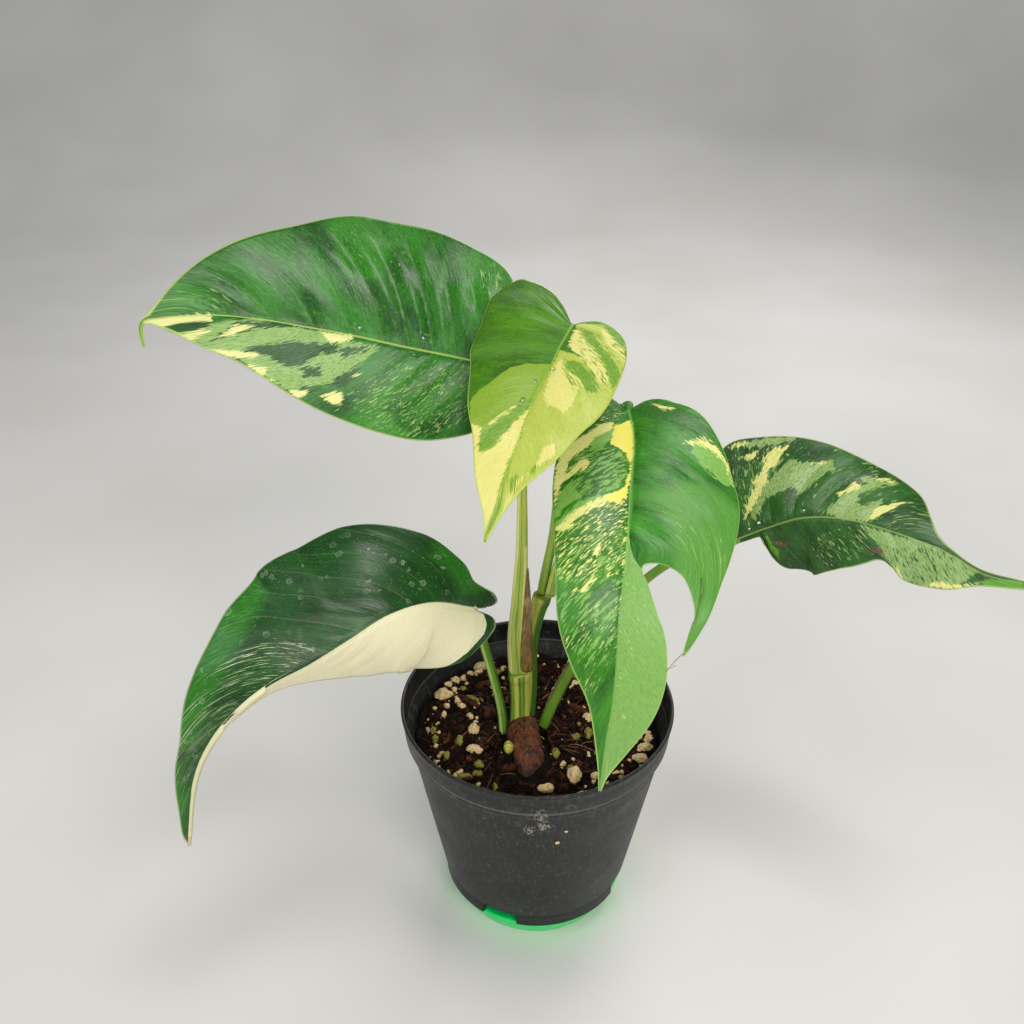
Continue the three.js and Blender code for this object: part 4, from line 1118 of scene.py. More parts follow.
# %% Right leaf's patches
PATCHES["leaf_right"] = {
    "milky": [
        (3, [(20, -18), (25, -23), (27, -25), (29, -22), (33, -22), (38, -24), (38, -20), (33, -15), (27, -8),
             (27, -12), (24, -13), (17, -12), (11, -6), (7, -4), (10, -9), (16, -16)]),
        (3, [(36, -2), (40, -7), (42, -10), (48, -16), (46, -18), (51, -20), (59, -21), (52, -15), (47, -11),
             (47, -6), (53, -9), (55, -12), (56, -10), (54, -2), (48, 0), (41, 0)]),
        (2, [(9, -37), (16, -37), (24, -36), (29, -33), (25, -32), (17, -34), (10, -37)]),
        (-0.4, [(10, -31), (26, -33), (20, -17), (6, -7)]),
        (-0.6, [(39, -22), (47, -25), (57, -24), (51, -21), (42, -18)]),
        (-0.5, [(57, -11), (66, -15), (72, -14), (73, -7), (62, -4)]),
        (1.5, [(51, 1), (63, 1), (78, 0), (87, 2), (76, 2), (70, 5), (62, 7), (56, 5)]),
        (-0.5, [(36, 7), (53, 1), (63, 7), (52, 15), (39, 20), (29, 13)]),
        (-0.9, [(6, -2), (4, -20), (10, -37), (30, -36), (60, -26), (80, -14), (90, -2)]),
        (0.5, [(60, 8), (60, 3), (70, 0), (97, 0), (93, 11), (82, 16), (71, 16)]),
        (0.2, [(63, 7), (79, 1), (97, 0), (93, 11), (82, 16), (71, 14)])],
    "cream": [
        (1.5, [(14, -31), (20, -32), (18, -29), (14, -29)]),
        (2, [(21, -29), (24, -31), (26, -30), (24, -24), (21, -23), (19, -18), (11, -10), (6, -7), (8, -11),
             (14, -18), (13, -20), (19, -23)]),
        (1.5, [(40, -10), (45, -15), (48, -15), (41, -9)]),
        (1, [(49, -19), (55, -21), (60, -21), (53, -19)]),
        (1.5, [(56, -9), (63, -13), (58, -7), (56, -4), (52, -1), (54, -7)]),
        (1, [(32, -22), (37, -23), (36, -22)]),
        (1.5, [(9, -37), (16, -37), (17, -36), (13, -36)]),
        (-0.8, [(10, -32), (26, -33), (26, -28), (11, -27)]),
        (-1.0, [(39, -23), (57, -24), (57, -18), (42, -15)]),
        (2, [(82, 16), (85, 13), (92, 10), (99, 4), (92, 12), (86, 15)]),
        (1, [(68, 12), (70, 13), (73, 16), (70, 15)]),
        (-1.1, [(29, 8), (43, 5), (56, 6), (48, 20), (29, 22)])],
    "lime": [
        (4, [(98, 4), (102, 1), (113, -1), (114, 2), (103, 4)]),
        (2, [(11, 3), (13, 10), (12, 16), (10, 9)])],
    "brown": [
        (1.5, [(12, 6), (18, 9), (17, 11), (14, 9)]),
        (1.5, [(56, 8), (62, 8), (61, 10), (57, 10)])],
}
print(sum(map(len, PATCHES["leaf_right"].values())), "patches")

# %% [markdown]
# ## Right leaf, made
# It is the darkest green of the marbled leaves. One side of its petiole has a dried, brown edge.

# %% Right leaf, made
leaf_piece("leaf_right", ["143c0c", "2a641a", "5c9040"],
           [("milky", "94b066", "628a44", 3.6, 1.2, 3.2), ("cream", "e4e08c", "c4cc70", 3.2, 0.9, 3.0),
            ("lime", "4c9010", "6ca82c", 2.0, 1.0, 4), ("brown", "4a3424", "7c5f48", 1.0, 0.6, 1.6)],
           "98b058", "b4c878")
petiole_piece("leaf_right", ["5c8c20", "7ca434", "9cbc50"], [("brown", "8f6a50", "b48f74", 1.0, 0.5, 6)],
              {"brown": [stripe(2, 60, -125, -95, 0.5)]})

# %% [markdown]
# ## Lower left leaf
# The lower left leaf arches over the rim, and its inner half has folded down from the midrib, because it is
# thinner and softer than the outer one.

# %% Lower left leaf, measured
LEAVES["leaf_lower_left"] = {
    "rib": [[-26, -20, 171], [-41, -31, 181], [-56, -42, 183], [-70, -51, 178], [-84, -58, 172],
        [-97, -63, 167], [-109, -66, 158], [-121, -67, 143], [-130, -67, 123], [-137, -67, 91]],
    "lie": [[-4, 15, -112, 10, -40], [-6, -22, -66, 8, -38], [-10, -54, -30, 8, -36], [-16, -72, -10, 8, -28],
        [-24, -78, -4, 6, -16], [-30, -60, 0, 0, -8]],
    "half_width": 40,
    "left": [[0, -3, 0.8], [0.5, -10, 3], [0.9, -11.5, 6.5], [1.4, -9, 10.5], [2, -5, 15.5], [3, -1, 21.5],
        [6, 7, 30.5], [12, 21, 34], [24, 38, 30.5], [38, 53, 28.5], [52, 66, 20], [66, 78, 11], [80, 91, 7],
        [96, 107, 6], [114, 124, 6], [134, 142, 4], [156, 160, 1.5], [178, 178, 0.5]],
    "right": [[0, -3, 0.6], [0.4, -9, 1.4], [0.8, -12.5, 3.8], [1.4, -10.5, 6.8], [2, -5, 8.6], [3, 1, 11],
        [4.5, 6, 16], [9, 13, 21], [15, 23, 31], [23, 36, 39], [34, 50, 43], [50, 69, 42], [66, 84, 36],
        [82, 99, 25], [98, 113, 18], [116, 127, 11], [134, 142, 8], [154, 158, 5], [168, 172, 3],
        [178, 178, 0.5]],
    "wave": [0.8, 36],
    "petiole": [[-14.6, -3, 92], [-15.6, -3.5, 105], [-18, -5, 120], [-23, -9.5, 147], [-26, -15.5, 164]],
    "radii": [2.0, 1.9, 1.9, 1.8, 1.8],
    "holes": [],
    "quilt": (0.2, 0.45), "spacing": 14, "drift": 26, "crease": (0.12, 0.1), "seed": 2,
}
print("lower left midrib", midrib_length("leaf_lower_left"), "mm")

# %% [markdown]
# ## Lower left leaf's patches
# The leaf is split in colour down the midrib: the inner half has no green at all, the outer one is deep
# green with a brighter margin and fine cream streaks toward the tip.

# %% Lower left leaf's patches
PATCHES["leaf_lower_left"] = {
    "cream": [
        (-0.6, [(117, 14), (93, 17), (76, 12), (69, 4), (86, 3), (107, 2), (141, 3), (146, 6), (128, 11)]),
        (-0.9, [(160, 5), (128, 11), (101, 8), (107, 1), (160, 1)])],
    "bright": [
        (1.5, [(78, 42), (96, 34), (112, 24), (128, 13), (130, 7), (116, 9), (102, 13), (88, 22), (76, 32)]),
        (0.5, [(15, 26), (4, 15), (-4, 8), (7, 6), (18, 18)]),
        (2, [(132, 11), (152, 2), (176, 4), (152, 8)])],
    "ivory": [
        (9, [(0, 0), (-5, -2), (-6.5, -6), (-5.5, -10), (-2, -14.5), (1, -20), (4, -30), (20, -60),
             (178, -60), (178, 0.9), (150, 0.6), (60, 0.4)])],
    "brown": [
        (2, [(173, -9), (190, -9), (190, 9), (173, 9)])],
}
print(sum(map(len, PATCHES["leaf_lower_left"].values())), "patches")

# %% [markdown]
# ## Lower left leaf, made
# The outer half is glossy, with dried water marks. Ivory tissue has the same tone on both sides.

# %% Lower left leaf, made
leaf_piece("leaf_lower_left", ["0a340c", "174f12", "2c7a20"],
           [("bright", "1f6c10", "3f941c", 2.4, 1.6, 6, 3.0), ("cream", "c8d4a4", "98b878", 3.4, 0.6, 5.0),
            ("ivory", "eee8c4", "e4e0b4", 0.3, 1.2, 3), ("brown", "4a3018", "7c5a30", 0.6, 0.6, 1.6)],
           "e2deb4", "a9bc84", 0.4)
# The petiole's pale stripe on the left is a painted highlight, its dark stripe on the right painted shade.
petiole_piece("leaf_lower_left", ["548a24", "7cac40", "a0c860"],
              [("pale", "c0d880", "a8c864", 1.0, 0.5, 9), ("dark", "3a701c", "508428", 1.0, 0.5, 9)],
              {"pale": [stripe(0, 90, -60, -15)], "dark": [stripe(0, 90, 30, 110)]})

# %% [markdown]
# ## Shoots
# Two green shoots stand on the rhizome. Each ends at a node, a swollen ring with a scar line, and is
# striped in yellow and dark green, because the variegation runs through the stem as well.

# %% Shoots
SHOOT_LAYERS = [("cream", "e4de68", "c8d058", 1.2, 0.5, 9), ("dark", "3e7420", "5c9034", 1.2, 0.5, 9),
                ("brown", "9c6f56", "b08a70", 0.6, 0.4, 2)]
SHOOTS = {
    "main_shoot": {
        "path": [[-7.5, -2, 93], [-7.5, -1.5, 108], [-8, -0.5, 123.7]], "radii": [4.8, 4.3, 4.6],
        "stripes": {"cream": [stripe(0, 33, -32, -9), stripe(0, 33, 32, 120)],
                    "brown": [(0.5, [(15, 1), (17, 2)])],
                    "dark": [stripe(0, 33, -170, -60), stripe(0, 33, -6, 8, 0.3),
                             stripe(0, 33, 20, 30, 0.2)]}},
    "second_shoot": {
        "path": [[-4, 8.5, 90], [-3, 8.5, 110], [-3, 8.5, 129], [-1, 8.5, 145], [2, 8.5, 157.5]],
        "radii": [3.6, 3.4, 3.3, 3.5, 4.1],
        "stripes": {"cream": [stripe(0, 70, -60, 10)], "dark": [stripe(0, 70, 20, 100)], "brown": []}},
}


def shoot_shape(angle, along, length):
    """Shallow flutes, and the ring of the node at the top with its scar line under it."""
    ring = np.exp(-((along - length + 2.2) / 1.5) ** 2)
    scar = np.exp(-((along - length + 4.6) / 0.45) ** 2)
    return 0.95 + 0.03 * np.cos(5 * angle + 0.6) + 0.015 * np.cos(11 * angle) + 0.06 * ring - 0.06 * scar


for name, shoot in SHOOTS.items():
    skin = leaf_material(name + "_skin", ["7c9c34", "a4bc48", "c0d064"], SHOOT_LAYERS, "a3c35c", "a3c35c",
                         0.02)
    stem_piece(name + "_fluted", name, skin, shoot["path"], shoot["radii"], 40, 0.7,
               shoot_shape, shoot["stripes"])
print(len(SHOOTS), "shoots")

# %% [markdown]
# ## Dried sheath
# The oldest leaf base has dried to a thin brown sheath, rolled round the upper left leaf's petiole and
# glossy where it is bent. A stem with an overlapping section makes it, rounded off at the foot.

# %% Dried sheath
def sheath_shape(angle, along, length):
    """A rolled dry leaf: one edge overlaps the other, the foot is rounded off, the walls are creased."""
    overlap = 0.16 * (angle + math.pi) / (2 * math.pi)
    foot = np.sqrt(np.clip(1 - (1 - np.clip(along / 4, 0, 1)) ** 2, 0.02, 1))
    return foot * (0.86 + overlap + 0.03 * np.cos(6 * angle + along / 9) + 0.02 * np.cos(14 * angle))


def dry_leaf(tree, dark="5a4420", light="ac8840", matt=0.34):
    """Dead leaf tissue: brown, streaked lengthwise by its fibres, and shiny where it is bent."""
    fibres = grain(tree, 0.5, 4.0, (1, 1, 14))
    colour = lay_over(tree, dark, light, fibres, 0.35, 0.68)
    blotches = grain(tree, 7.0, 2.0)
    colour = lay_over(tree, colour, "d0ae74", blotches, 0.56, 0.7, 0.6)
    bump = add(tree, "Bump", {"Height": fibres, "Strength": 0.7, "Distance": 0.25 * MM})
    return {"Base Color": colour, "Roughness": matt, "Normal": bump}


SHEATH_PATH = [[-4.8, -2.6, 125.5], [-5.2, -1.8, 141], [-5.0, -0.4, 158], [-5.0, 0.6, 176]]
stem_piece("dried_sheath_rolled", "dried_sheath", finish_of("dried_leaf_sheath", dry_leaf),
           SHEATH_PATH, [3.4, 3.0, 2.2, 0.8], 44, 0.8, sheath_shape)
print("sheath", round(Rib(SHEATH_PATH).length), "mm long")

# %% [markdown]
# ## Papery edges
# The thin wings of two other petioles have dried to pale paper and to a pinkish brown edge. Each is a
# ribbon from a small grid, which stands out of the petiole's side and is given the thickness of paper.

# %% Papery edges
PAPER = 0.25 * MM


def edge_strip(name, node, path, radius, first, last, degrees, width, material):
    """A thin wavy ribbon that stands out of a petiole's side between two places along it."""
    rib = Rib(path)
    steps = 46
    bm = bmesh.new()
    bmesh.ops.create_grid(bm, x_segments=6, y_segments=steps, size=1)
    for vert in bm.verts:
        share, out = (vert.co.y + 1) / 2, (vert.co.x + 1) / 2
        along = first + share * (last - first)
        point, tangent, face = rib.at(np.array(along))
        turn = math.radians(degrees) + 0.12 * out * math.sin(0.9 * along)
        way = face * math.cos(turn) + np.cross(tangent, face) * math.sin(turn)
        rise = width * math.sin(math.pi * share) ** 0.5 * (0.8 + 0.2 * math.sin(1.7 * along))
        curl = 0.35 * out ** 2 * math.sin(along / 3)
        vert.co = (point + way * (radius + rise * out) + face * curl) * MM
    piece = piece_of(name, bm, node, material)
    thick = piece.modifiers.new("paper", "SOLIDIFY")
    thick.thickness = PAPER


paper = finish_of("dried_papery_wing", lambda tree: dry_leaf(tree, "c9c193", "ece6c6", 0.6))
brown_edge = finish_of("dried_pinkish_wing", lambda tree: dry_leaf(tree, "7c5240", "b98f78", 0.5))
edge_strip("petiole_papery_wing", "leaf_front", LEAVES["leaf_front"]["petiole"], 1.7, 0.5, 22, 40, 2.0,
           paper)
edge_strip("petiole_brown_wing", "leaf_right", LEAVES["leaf_right"]["petiole"], 1.9, 3, 48, -100, 1.3,
           brown_edge)
print("two wings,", PAPER / MM, "mm thick")

# %% [markdown]
# ## Rhizome
# The old rhizome is a brown, fibrous, swollen stem that lies half in the soil. Old leaf scars ring it, and
# whitish root fibres hang from its lower half.

# %% Rhizome
def rhizome_shape(angle, along, length):
    """Old leaf scars ring the rhizome every 7 mm; between them the bark is furrowed."""
    scars = -0.07 * np.exp(-((((along + 1.5) % 7.0) - 3.5) / 0.7) ** 2)
    return 0.92 + scars + 0.05 * np.cos(3 * angle + along / 5) + 0.02 * np.cos(17 * angle + along)


def bark_skin(tree):
    """Cinnamon cork, torn into fibres along the stem, darker towards the bottom and in near-black patches."""
    lay = add(tree, "Attribute", attribute_name="lay").outputs["Vector"]
    place = add(tree, "Mapping", {"Vector": lay, "Scale": (1 / 0.8, 1 / 4, 0)})
    fibres = add(tree, "TexNoise", {"Vector": place, "Scale": 1.0, "Detail": 5.0, "Roughness": 0.7})
    height = add(tree, "SeparateXYZ", {"Vector": add(tree, "TexCoord").outputs["Object"]})
    colour = lay_over(tree, "341606", "8c4818", fibres, 0.36, 0.62)
    # darker towards the bottom, from 98 mm down to 90 mm
    colour = lay_over(tree, colour, "180b05", height.outputs["Z"], 98 * MM, 90 * MM, 0.8)
    colour = lay_over(tree, colour, "120904", grain(tree, 2.4, 4.0), 0.5, 0.62, 0.8)
    colour = lay_over(tree, colour, "a8845c", grain(tree, 0.8, 5.0, (1, 2.5, 1)), 0.6, 0.72, 0.5)
    bump = add(tree, "Bump", {"Height": fibres, "Strength": 0.9, "Distance": 0.6 * MM})
    return {"Base Color": colour, "Roughness": 0.62, "Normal": bump}


RHIZOME = [[-3, -27, 82], [-3.5, -23, 90], [-4.5, -16, 95], [-6, -7, 96], [-6.5, 1, 93], [-6, 7, 88]]
RHIZOME_RADII = [5.5, 6.8, 7.2, 7.6, 7.2, 6]
stem_piece("rhizome_furrowed", "rhizome", finish_of("rhizome_cork", bark_skin), RHIZOME,
           RHIZOME_RADII, 64, 0.55, rhizome_shape, None, 0.6)
print("rhizome", round(Rib(RHIZOME).length), "mm long")

# %% [markdown]
# ## Bud
# A plump green bud sits on the rhizome's left side: a ball drawn out upward, with three low ridges where
# its scales meet.

# %% Bud
def bud_skin(tree):
    """Yellow-green young tissue under a thin waxy skin."""
    colour = lay_over(tree, "8f9a2a", "dcd66a", grain(tree, 1.2), 0.4, 0.6)
    bump = add(tree, "Bump", {"Height": grain(tree, 0.5), "Distance": 0.08 * MM})
    return {"Base Color": colour, "Roughness": 0.38, "Normal": bump}


bud = bmesh.new()
bmesh.ops.create_uvsphere(bud, u_segments=32, v_segments=24, radius=1)
for vert in bud.verts:
    turn = math.atan2(vert.co.y, vert.co.x)
    scale = 1 + 0.06 * math.cos(3 * turn + 2.5 * vert.co.z) - 0.1 * max(vert.co.z, 0) ** 2
    out = 2.25 * scale
    vert.co = Vector((-12.5 + out * vert.co.x, -18 + out * vert.co.y, 97 + 3.3 * vert.co.z)) * MM
piece_of("rhizome_bud_scaly", bud, "rhizome_bud", finish_of("young_bud_skin", bud_skin))
print("rhizome and bud")

# %% [markdown]
# ## The soil's surface
# The mix is dark peat with bark, coir fibre and perlite. Watering and repotting leave low mounds and lumps,
# so its height is one formula, which everything that lies on it uses too.

# %% The soil's surface
SOIL_LEVEL = 91
INNER_WALL = ((23.9, 41.1), (96.1, 55.2))  # height and radius over the floor and under the band


def soil_height(x, y):
    """Height of the soil in millimetres: low mounds, and lumps of a few millimetres."""
    mound = 2.2 * math.exp(-((x + 5) ** 2 + (y + 2) ** 2) / 500)
    slow = 1.3 * (math.sin(0.31 * x + 1.3) * math.cos(0.27 * y - 0.4) + 0.6 * math.sin(0.7 * x - 0.5 * y))
    lumps = 1.3 * noise.noise(Vector((x / 5, y / 5, 4))) + 0.8 * noise.noise(Vector((x / 1.8, y / 1.8, 9)))
    return SOIL_LEVEL + mound + slow + lumps


def wall_radius(z, low, high):
    """Radius at a height on a straight wall between two places given as height and radius."""
    return low[1] + (high[1] - low[1]) * (z - low[0]) / (high[0] - low[0])


BED_RADIUS = wall_radius(SOIL_LEVEL, *INNER_WALL) - 0.6
print("soil bed within", round(BED_RADIUS, 1), "mm")

# %% [markdown]
# ## Soil bed
# The bed is one closed body that fills the pot. A square grid is trimmed to a disc, lifted to the soil's
# height, and its edge is extruded down the wall in three steps and closed at the floor.

# %% Soil bed
BED_STEPS = (84, 60, 24.2)  # heights of the rings down the wall
bed = bmesh.new()
bmesh.ops.create_grid(bed, x_segments=120, y_segments=120, size=BED_RADIUS + 0.5)
bmesh.ops.delete(bed, geom=[v for v in bed.verts if v.co.length > BED_RADIUS], context="VERTS")
for vert in bed.verts:
    if vert.is_boundary:
        vert.co = vert.co.normalized() * BED_RADIUS
for vert in bed.verts:
    vert.co.z = soil_height(vert.co.x, vert.co.y)
ring = [e for e in bed.edges if e.is_boundary]
for z in BED_STEPS:
    sides = bmesh.ops.extrude_edge_only(bed, edges=ring)["geom"]
    ring = [e for e in sides if isinstance(e, bmesh.types.BMEdge)]
    for vert in [v for v in sides if isinstance(v, bmesh.types.BMVert)]:
        reach = Vector((vert.co.x, vert.co.y)).normalized() * (wall_radius(z, *INNER_WALL) - 0.5)
        vert.co = (reach.x, reach.y, z)
bmesh.ops.contextual_create(bed, geom=ring)
bmesh.ops.recalc_face_normals(bed, faces=bed.faces)
bmesh.ops.scale(bed, vec=(MM, MM, MM), verts=bed.verts)
print("soil bed", len(bed.faces), "faces")

# %% [markdown]
# ## Damp earth
# Peat, crumbs and bark differ in tone and grain, but all are crumbly, damp and nearly without gloss. One
# finish takes the two tones, the grain size and the depth of its pits.

# %% Damp earth
def earth(dark, light, grain_mm, depth_mm, flush="2c1c12"):
    """Crumbly damp matter in two tones, broken up at its grain size, with redder areas."""
    def build(tree):
        coarse = grain(tree, grain_mm, 6.0)
        colour = lay_over(tree, dark, light, coarse, 0.4, 0.66)
        colour = lay_over(tree, colour, flush, grain(tree, 8 * grain_mm, 2.0), 0.5, 0.62, 0.5)
        bump = add(tree, "Bump", {"Height": coarse, "Strength": 0.9, "Distance": depth_mm * MM})
        return {"Base Color": colour, "Roughness": 0.92, "Specular IOR Level": 0.2, "Normal": bump}
    return build


peat = finish_of("damp_peat", earth("040201", "1e1008", 1.1, 0.9, "24130a"))
piece_of("soil_bed", bed, "potting_soil", peat)
print("peat with 1.1 mm grains")

# %% [markdown]
# ## Crumbs
# Loose peat crumbs of up to 3 mm hide the bed's smooth skin. Each is a 20-sided ball, squashed, roughened
# and turned by seeded chance. They are made in heaps and poured together, which is faster than one growing
# mesh.

# %% Crumbs
dice = random.Random(12)
HEAPS = 20
CRUMBS_IN_A_HEAP = 260


def lump(bm, centre, size, block=False, level=1, rough=0.3, turn=None):
    """A sphere or a block, squashed, roughened and turned, with its centre in millimetres."""
    if block:
        made = bmesh.ops.create_cube(bm, size=1.6)["verts"]
        edges = list({e for v in made for e in v.link_edges})
        made = bmesh.ops.bevel(bm, geom=edges, offset=0.3, segments=1, affect="EDGES", profile=0.5,
                               material=-1)["verts"]
    else:
        made = bmesh.ops.create_icosphere(bm, subdivisions=level, radius=1)["verts"]
    shift = Vector([dice.uniform(0, 90) for _ in range(3)])
    tilt = turn or (dice.uniform(-0.5, 0.5), dice.uniform(-0.5, 0.5), dice.uniform(0, 6.3))
    spin = Euler(tilt).to_matrix()
    for vert in made:
        way = vert.co.copy()
        way *= 1 + rough * noise.noise(way * 1.3 + shift) + 0.5 * rough * noise.noise(way * 3.1 + shift)
        vert.co = (spin @ Vector([a * b for a, b in zip(way, size)]) + Vector(centre)) * MM


def on_soil(spread=50.0):
    """A random place on the soil, clear of the stems' feet."""
    while True:
        reach, turn = spread * math.sqrt(dice.random()), dice.uniform(0, 2 * math.pi)
        x, y = reach * math.cos(turn), reach * math.sin(turn)
        if not (-15 < x < 5 and -34 < y < 13):
            return x, y


crumbs = bmesh.new()
for _ in range(HEAPS):
    heap = bmesh.new()
    for _ in range(CRUMBS_IN_A_HEAP):
        x, y = on_soil(51.2)
        size = dice.uniform(0.4, 1.5) * dice.uniform(0.5, 1)
        half = (size, size * dice.uniform(0.6, 1), size * 0.8)
        lump(heap, (x, y, soil_height(x, y) + 0.25 * size), half, rough=0.8)
    pour = bpy.data.meshes.new("heap")
    heap.to_mesh(pour)
    heap.free()
    crumbs.from_mesh(pour)
    bpy.data.meshes.remove(pour)
print("crumbs", len(crumbs.faces), "faces")
crumb_finish = finish_of("peat_crumb", earth("080402", "341c0e", 0.9, 0.4, "4c2a14"))
piece_of("peat_crumbs", crumbs, "potting_soil", crumb_finish)

# %% [markdown]
# ## Bark chips
# Composted pine bark lies in flat, angular chips with rounded edges. Eight of them stand out in the
# photograph and have their places here; the small ones fall by chance.

# %% Bark chips
# x, y, half length, half width, turn in degrees
CHIPS = [(-21, 9, 6.5, 3.6, 100), (-31, 16, 9, 1.6, -45), (-13, -25, 4.5, 2.4, 20), (-24, 30, 4, 3, 10),
         (-24, -12, 5, 3, 70), (4, 36, 4, 1.5, -30), (-33, 36, 3.4, 2, 0), (20, 12, 7, 2, 150)]
SMALL_CHIPS = 260
bark = bmesh.new()
for x, y, long, wide, turn in CHIPS:
    tilt = (0.12, -0.1, math.radians(turn))
    lump(bark, (x, y, soil_height(x, y) + 0.8), (long, wide, 1.3), True, 1, 0.4, tilt)
for _ in range(SMALL_CHIPS):
    x, y = on_soil(48)
    long = dice.uniform(1.2, 3.8)
    half = (long, long * dice.uniform(0.25, 0.6), dice.uniform(0.35, 0.8))
    lump(bark, (x, y, soil_height(x, y) + 0.35), half, True, 1, 0.5)
print("bark", len(bark.faces), "faces")
bark_finish = finish_of("composted_pine_bark", earth("180a06", "5c2f1a", 2.2, 0.5, "7a3f22"))
piece_of("bark_chips", bark, "potting_soil", bark_finish)

# %% [markdown]
# ## Perlite's finish
# Perlite is volcanic glass blown up to light, pitted grains of 2 to 6 mm that soon turn cream. Old grains
# near the rim have grown green with algae. Voronoi cells are the bubbles, with dirt in their hollows.

# %% Perlite's finish
BUBBLE = 0.75 * MM


def perlite_finish(light, dark):
    """Blown glass froth: chalky, full of bubbles, with dirt or algae in the hollows."""
    def build(tree):
        bubbles = add(tree, "TexVoronoi", {"Vector": add(tree, "TexCoord").outputs["Object"],
                                           "Scale": 1 / BUBBLE})
        stain = grain(tree, 1.6, 4.0)
        colour = lay_over(tree, light, dark, stain, 0.46, 0.66, 0.85)
        colour = lay_over(tree, colour, "5c4020", bubbles.outputs["Distance"], 0.3, 0.02, 0.55)
        bump = add(tree, "Bump", {"Height": bubbles.outputs["Distance"], "Strength": 0.8,
                                  "Distance": 0.35 * MM})
        return {"Base Color": colour, "Roughness": 0.8, "Normal": bump, "Subsurface Weight": 0.1,
                "Subsurface Scale": 0.8 * MM}
    return build


clean_perlite = finish_of("expanded_perlite", perlite_finish("f4d8a2", "b88e54"))
green_perlite = finish_of("perlite_with_algae", perlite_finish("969038", "4e5418"))
print("bubbles of", BUBBLE / MM, "mm")

# %% [markdown]
# ## Where the larger grains lie
# The larger grains stand where the photograph shows them: the clean ones and the green ones, each as x, y,
# half length, half width and turn in degrees, seen from above.

# %% Where the larger grains lie
CLEAN_GRAINS = [
    (-26, 44, 3.1, 2.3, 0), (-22, 43, 1.4, 1.2, 0), (-27, 39, 2.2, 1.7, 0), (-31, 37, 1.8, 1.4, 0),
    (-34, 35, 1.8, 1.4, 30), (-38, 33, 2.0, 1.9, 0), (-41, 29, 1.7, 1.4, 0), (-38, 27, 1.5, 1.3, 0),
    (-43, 22, 3.8, 2.8, 0), (-36, 19, 2.2, 2.1, 0), (-34, 14, 2.5, 1.3, -45), (-30, 8, 2.6, 1.3, -50),
    (-41, 15, 1.7, 1.1, -40), (-42, 10, 1.1, 1.9, 0), (-28, -4, 2.3, 2.6, 0), (-27, -15, 3.4, 1.9, -10),
    (-35, -30, 1.5, 1.8, 0), (-15, 43, 1.5, 1.7, 0), (3, -38, 3.0, 2.1, 0), (15, -32, 2.7, 3.8, 0),
    (11, -22, 1.3, 1.5, 0), (23, 4, 2.2, 1.9, 0), (24, -30, 1.6, 1.7, 0), (47, -13, 3.2, 1.8, 0),
    (44, -20, 3.3, 2.1, 0), (49, -8, 2.3, 1.6, 50), (49, -2, 1.9, 1.4, 0), (19, 32, 1.8, 2.0, 0),
    (33, -28, 2.0, 1.0, 30)]
GREEN_GRAINS = [
    (-34, 27, 1.4, 1.2, 0), (-29, 18, 3.4, 1.3, -40), (-34, -9, 1.6, 3.1, 0), (-39, -20, 1.3, 1.7, 0),
    (-46, -1, 1.6, 1.4, 0), (-45, -8, 1.4, 1.8, 0), (-25, -24, 2.0, 1.8, 0), (-26, -29, 2.4, 1.3, 0),
    (-31, -32, 2.8, 1.5, 0), (-18, 41, 1.3, 1.8, 30), (-18, -36, 0.9, 2.5, 0), (14, -25, 1.8, 1.5, 0),
    (23, -4, 1.8, 2.9, 0), (17, -7, 1.9, 1.5, 0), (8, -17, 1.5, 2.3, 0)]
print(len(CLEAN_GRAINS), "clean and", len(GREEN_GRAINS), "green grains")

# %% [markdown]
# ## Perlite
# The small grains fall by chance, half of them along the wall, where watering washes them. Each is a ball
# with deep dents, half sunk in the soil.

# %% Perlite
for name, finish, places, small in (("perlite", clean_perlite, CLEAN_GRAINS, 230),
                                    ("perlite_algae", green_perlite, GREEN_GRAINS, 70)):
    grains = bmesh.new()
    for x, y, long, wide, turn in places:
        half = (1.05 * long, 1.05 * wide, 0.85 * min(long, wide) + 0.3)
        tilt = (0.15, -0.1, math.radians(turn))
        lump(grains, (x, y, soil_height(x, y) + 0.55 * half[2]), half, False, 3, 0.35, tilt)
    for _ in range(small):
        x, y = on_soil(50.5)
        if dice.random() < 0.5:
            out = dice.uniform(44, 50.5) / math.hypot(x, y)
            x, y = x * out, y * out
        size = dice.uniform(0.35, 1.3)
        half = (size, size * dice.uniform(0.7, 1), size * 0.85)
        lump(grains, (x, y, soil_height(x, y) + 0.5 * size), half, False, 2, 0.5)
    print(name, len(grains.faces), "faces")
    piece_of(name, grains, "potting_soil", finish)

# %% [markdown]
# ## Coir fibres
# Coir is the husk of the coconut. Its wiry fibres lie loose on top of the mix and wander as they go, so
# each is a thin stem along a random walk with a little sag.

# %% Coir fibres
FIBRES = 70


def strand(bm, start, way, length, radius, sag=0.0, seed=0.0):
    """A thin wandering fibre from a place in a direction; sag pulls it down per millimetre."""
    steps = 6
    place, path = Vector(start), [tuple(start)]
    way = Vector(way).normalized()
    for step in range(steps):
        bend = noise.noise_vector(Vector((seed, step * 0.9, 3.7)))
        way = (way + 0.45 * bend + Vector((0, 0, -sag))).normalized()
        place = place + way * (length / steps)
        path.append(tuple(place))
    sweep(bm, path, [radius] * (steps + 1), 5, length / 12)


fibres = bmesh.new()
for index in range(FIBRES):
    x, y = on_soil(35)
    turn = dice.uniform(0, 6.3)
    start = (x, y, soil_height(x, y) + 0.5)
    way = (math.cos(turn), math.sin(turn), 0.25)
    strand(fibres, start, way, dice.uniform(5, 15), dice.uniform(0.1, 0.24), 0.1, index)
print("fibres", len(fibres.faces), "faces")
coir = finish_of("coir_fibre", lambda tree: dry_leaf(tree, "4a2a14", "8c5e34", 0.6))
piece_of("coir_fibres", fibres, "potting_soil", coir)

# %% [markdown]
# ## Rootlets
# Young roots break out of the rhizome's sides and underside and turn down into the soil, so their sag is
# strong.

